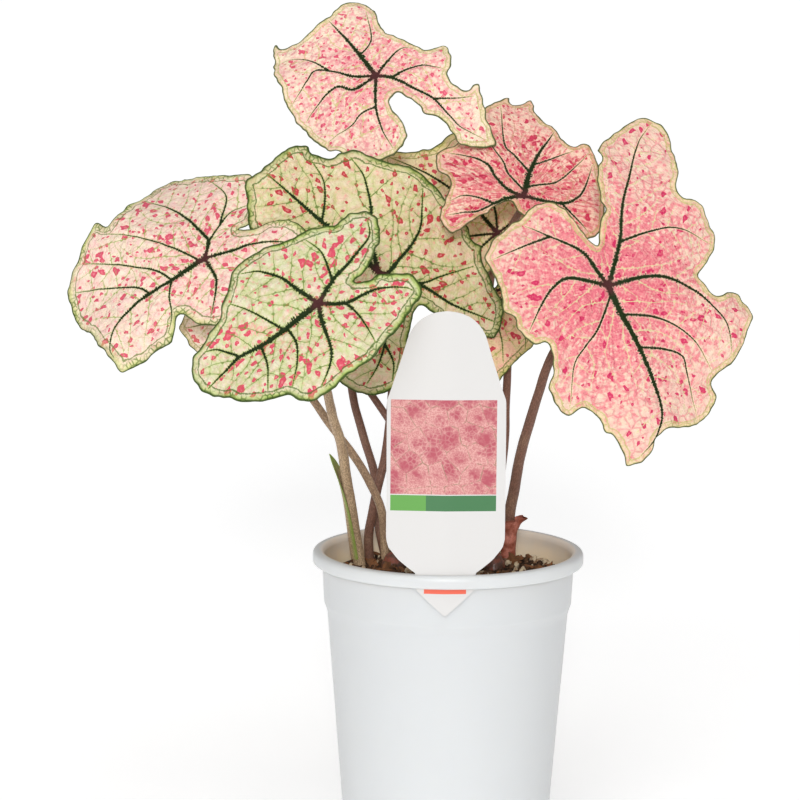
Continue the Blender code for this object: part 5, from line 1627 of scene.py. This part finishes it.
class CALADIUM_OT_stalks(Operator):
    """Make the stalks that carry the leaves"""

    bl_idname = "caladium.stalks"
    bl_label = "Stalks"

    def execute(self, context):
        skin = stalk_material(context.scene.caladium_stalks)
        for seed, (name, leaf) in enumerate(LEAVES.items()):
            route = eased(spaced(stalk_route(leaf), 1.5))
            radii = [stalk_radius(leaf, k / (len(route) - 1)) for k in range(len(route))]
            tone = STALK_TONES.get(name, OTHER_STALKS)
            mesh = swept_mesh(f"petiole_{name}", route, radii, 20, seed, 0.06, tone)
            made = new_object(f"petiole_{name}", mesh, [skin])
            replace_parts(made, f"stalk_{name}")
        return {"FINISHED"}


class CALADIUM_OT_sheaths(Operator):
    """Make the green-edged sheath and the dry red-brown one at the feet of two stalks"""

    bl_idname = "caladium.sheaths"
    bl_label = "Sheaths"

    def execute(self, context):
        colours = context.scene.caladium_stalks
        dry = skin_material("sheath_red_brown", colours.old_sheath, colours.bud, 0.5)
        forms = {
            "front": ("sheath_green", sheath_material(colours), 0.2),
            "right": ("sheath_red_brown", dry, 3.0),
        }
        for name, (slot_name, skin, crumple) in forms.items():
            mesh = sheath_mesh(f"wrap_{name}", SHEATHS[name], crumple)
            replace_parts(new_object(f"wrap_{name}", mesh, [skin]), f"sheath_{name}")
        return {"FINISHED"}


class CALADIUM_OT_tubers(Operator):
    """Make the two tubers with their buds"""

    bl_idname = "caladium.tubers"
    bl_label = "Tubers and buds"

    def execute(self, context):
        colours = context.scene.caladium_stalks
        skin = skin_material("tuber_skin", colours.bud, colours.speck, 0.35, 0.25)
        for name, form in TUBERS.items():
            mesh = tuber_mesh(f"corm_{name}", form)
            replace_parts(new_object(f"corm_{name}", mesh, [skin]), f"tuber_{name}")
        return {"FINISHED"}


class CALADIUM_OT_pot(Operator):
    """Make the moulded pot with its rolled rim, label slot and drain holes"""

    bl_idname = "caladium.pot"
    bl_label = "Pot"

    def execute(self, context):
        settings = context.scene.caladium_pot
        mesh = lathe_mesh("pot_shell", rounded(pot_profile(), 0.7)[::-1], settings.sides)
        made = new_object("pot_shell", mesh, [pot_material(settings)])
        cutters = [slot_cutter()]
        for index in range(DRAIN_HOLES):
            angle = 2 * math.pi * (index + 0.5) / DRAIN_HOLES
            middle = (DRAIN_CIRCLE * math.cos(angle), DRAIN_CIRCLE * math.sin(angle))
            profile = [(0, FLOOR + 1), (DRAIN_RADIUS, FLOOR + 1), (DRAIN_RADIUS, -1), (0, -1)]
            cutters.append(lathe_mesh(f"drain_{index}", profile, 32, middle))
        cut_out(made, cutters)
        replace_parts(made, "pot")
        return {"FINISHED"}


class CALADIUM_OT_soil(Operator):
    """Make the potting soil with its crumbs, bark chips and mineral grains"""

    bl_idname = "caladium.soil"
    bl_label = "Soil"

    def execute(self, context):
        settings = context.scene.caladium_soil
        half = mm(settings.crumb)
        bed = crumb_material("soil_bed", settings.peat, settings.fibre, 4.0)
        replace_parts(new_object("soil_bed", soil_mesh(settings), [bed]), "soil")
        kinds = {
            "soil_crumbs": (settings.crumbs, half, (1, 0.85, 0.7), 0.25, settings.peat, settings.fibre),
            "bark_chips": (settings.chips, 1.5 * half, (1.3, 0.8, 0.3), 0.3, settings.bark, settings.fibre),
            "mineral_grains": (settings.grains, half, (1, 0.9, 0.85), 0.5, settings.grain, settings.bark),
        }
        for seed, (name, (count, size, stretch, sink, base, other)) in enumerate(kinds.items()):
            mesh = strewn_mesh(name, count, size, stretch, sink, seed + 20)
            skin = crumb_material(name, base, other, 2.5)
            new_object(name, mesh, [skin])
        return {"FINISHED"}


class CALADIUM_OT_label(Operator):
    """Make the plain plant label"""

    bl_idname = "caladium.label"
    bl_label = "Label"

    def execute(self, context):
        skin = label_material(context.scene.caladium_label)
        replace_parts(new_object("label_board", label_mesh(), [skin]), "label")
        return {"FINISHED"}


class CALADIUM_OT_stage(Operator):
    """Make the pale floor, the soft light and the camera at the photograph's angle"""

    bl_idname = "caladium.stage"
    bl_label = "Stage"

    def execute(self, context):
        settings = context.scene.caladium_stage
        scene = context.scene
        scene.view_settings.view_transform = "Standard"
        self.add_floor(scene, settings)
        world = bpy.data.worlds.new("studio")
        world.use_nodes = True
        world.node_tree.nodes["Background"].inputs["Color"].default_value = (1, 1, 1, 1)
        world.node_tree.nodes["Background"].inputs["Strength"].default_value = settings.sky
        scene.world = world
        for name, (place, strength, angle) in LIGHTS.items():
            self.add_sun(scene, name, place, strength * settings.key, angle)
        self.add_camera(scene, settings)
        return {"FINISHED"}

    def add_floor(self, scene, settings):
        corners = [(x * FLOOR_HALF, y * FLOOR_HALF, 0) for x, y in ((-1, -1), (1, -1), (1, 1), (-1, 1))]
        floor = bpy.data.objects.new("floor", mesh_of("floor", corners, [(0, 1, 2, 3)]))
        scene.collection.objects.link(floor)
        made, graph, shader = new_material("floor", 0.8, 0.2)
        cloud = graph.ramp(graph.noise(graph.place(), 60.0), 0.3, 0.7, 0, 0.03)
        graph.put(shader.inputs["Base Color"], graph.mix(cloud, settings.floor, (0.8, 0.8, 0.8)))
        shader.inputs["Emission Color"].default_value = (1, 1, 1, 1)
        shader.inputs["Emission Strength"].default_value = settings.glow
        floor.data.materials.append(made)

    def add_sun(self, scene, name, place, strength, angle):
        data = bpy.data.lights.new(name, "SUN")
        data.angle = math.radians(angle)
        data.energy = strength
        made = bpy.data.objects.new(name, data)
        made.location = Vector(place) * MM
        made.rotation_euler = (-Vector(place)).to_track_quat("-Z", "Y").to_euler()
        scene.collection.objects.link(made)

    def add_camera(self, scene, settings):
        data = bpy.data.cameras.new("camera")
        data.lens = settings.focal
        data.sensor_width = 36
        made = bpy.data.objects.new("camera", data)
        place = Matrix.Translation(Vector(CAMERA) * MM)
        tilt = Matrix.Rotation(math.pi / 2 - CAMERA_DOWN, 4, "X")
        made.matrix_world = place @ tilt @ Matrix.Rotation(CAMERA_ROLL, 4, "Z")
        scene.collection.objects.link(made)
        scene.camera = made


OPERATORS = (
    CALADIUM_OT_pot,
    CALADIUM_OT_soil,
    CALADIUM_OT_tubers,
    CALADIUM_OT_stalks,
    CALADIUM_OT_sheaths,
    CALADIUM_OT_leaves,
    CALADIUM_OT_label,
    CALADIUM_OT_stage,
)
GROUPS = {
    "blades": CALADIUM_PG_blades,
    "stalks": CALADIUM_PG_stalks,
    "pot": CALADIUM_PG_pot,
    "soil": CALADIUM_PG_soil,
    "label": CALADIUM_PG_label,
    "stage": CALADIUM_PG_stage,
}
GROUPS.update({f"look_{name}": group for name, group in LOOK_GROUPS.items()})


class CALADIUM_PT_panel(Panel):
    """Lists the pieces and their sizes and colours"""

    bl_label = "Potted Caladium"
    bl_idname = "CALADIUM_PT_panel"
    bl_space_type = "VIEW_3D"
    bl_region_type = "UI"
    bl_category = "Caladium"

    def draw(self, context):
        for operator in OPERATORS:
            self.layout.operator(operator.bl_idname)
        for name, group in GROUPS.items():
            box = self.layout.box()
            box.label(text=name.replace("_", " ").capitalize())
            for field in group.__annotations__:
                box.prop(getattr(context.scene, f"caladium_{name}"), field)


def register():
    for group in (*GROUPS.values(), *OPERATORS, CALADIUM_PT_panel):
        bpy.utils.register_class(group)
    for name, group in GROUPS.items():
        setattr(bpy.types.Scene, f"caladium_{name}", PointerProperty(type=group))


def unregister():
    for name in GROUPS:
        delattr(bpy.types.Scene, f"caladium_{name}")
    for group in (CALADIUM_PT_panel, *OPERATORS, *reversed(GROUPS.values())):
        bpy.utils.unregister_class(group)


def write_sizes():
    """Brings the objects' places in the scene up to date."""
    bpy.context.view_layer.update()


def main():
    register()
    for operator in OPERATORS:
        section, name = operator.bl_idname.split(".")
        getattr(getattr(bpy.ops, section), name)()
    write_sizes()


if __name__ == "__main__":
    main()
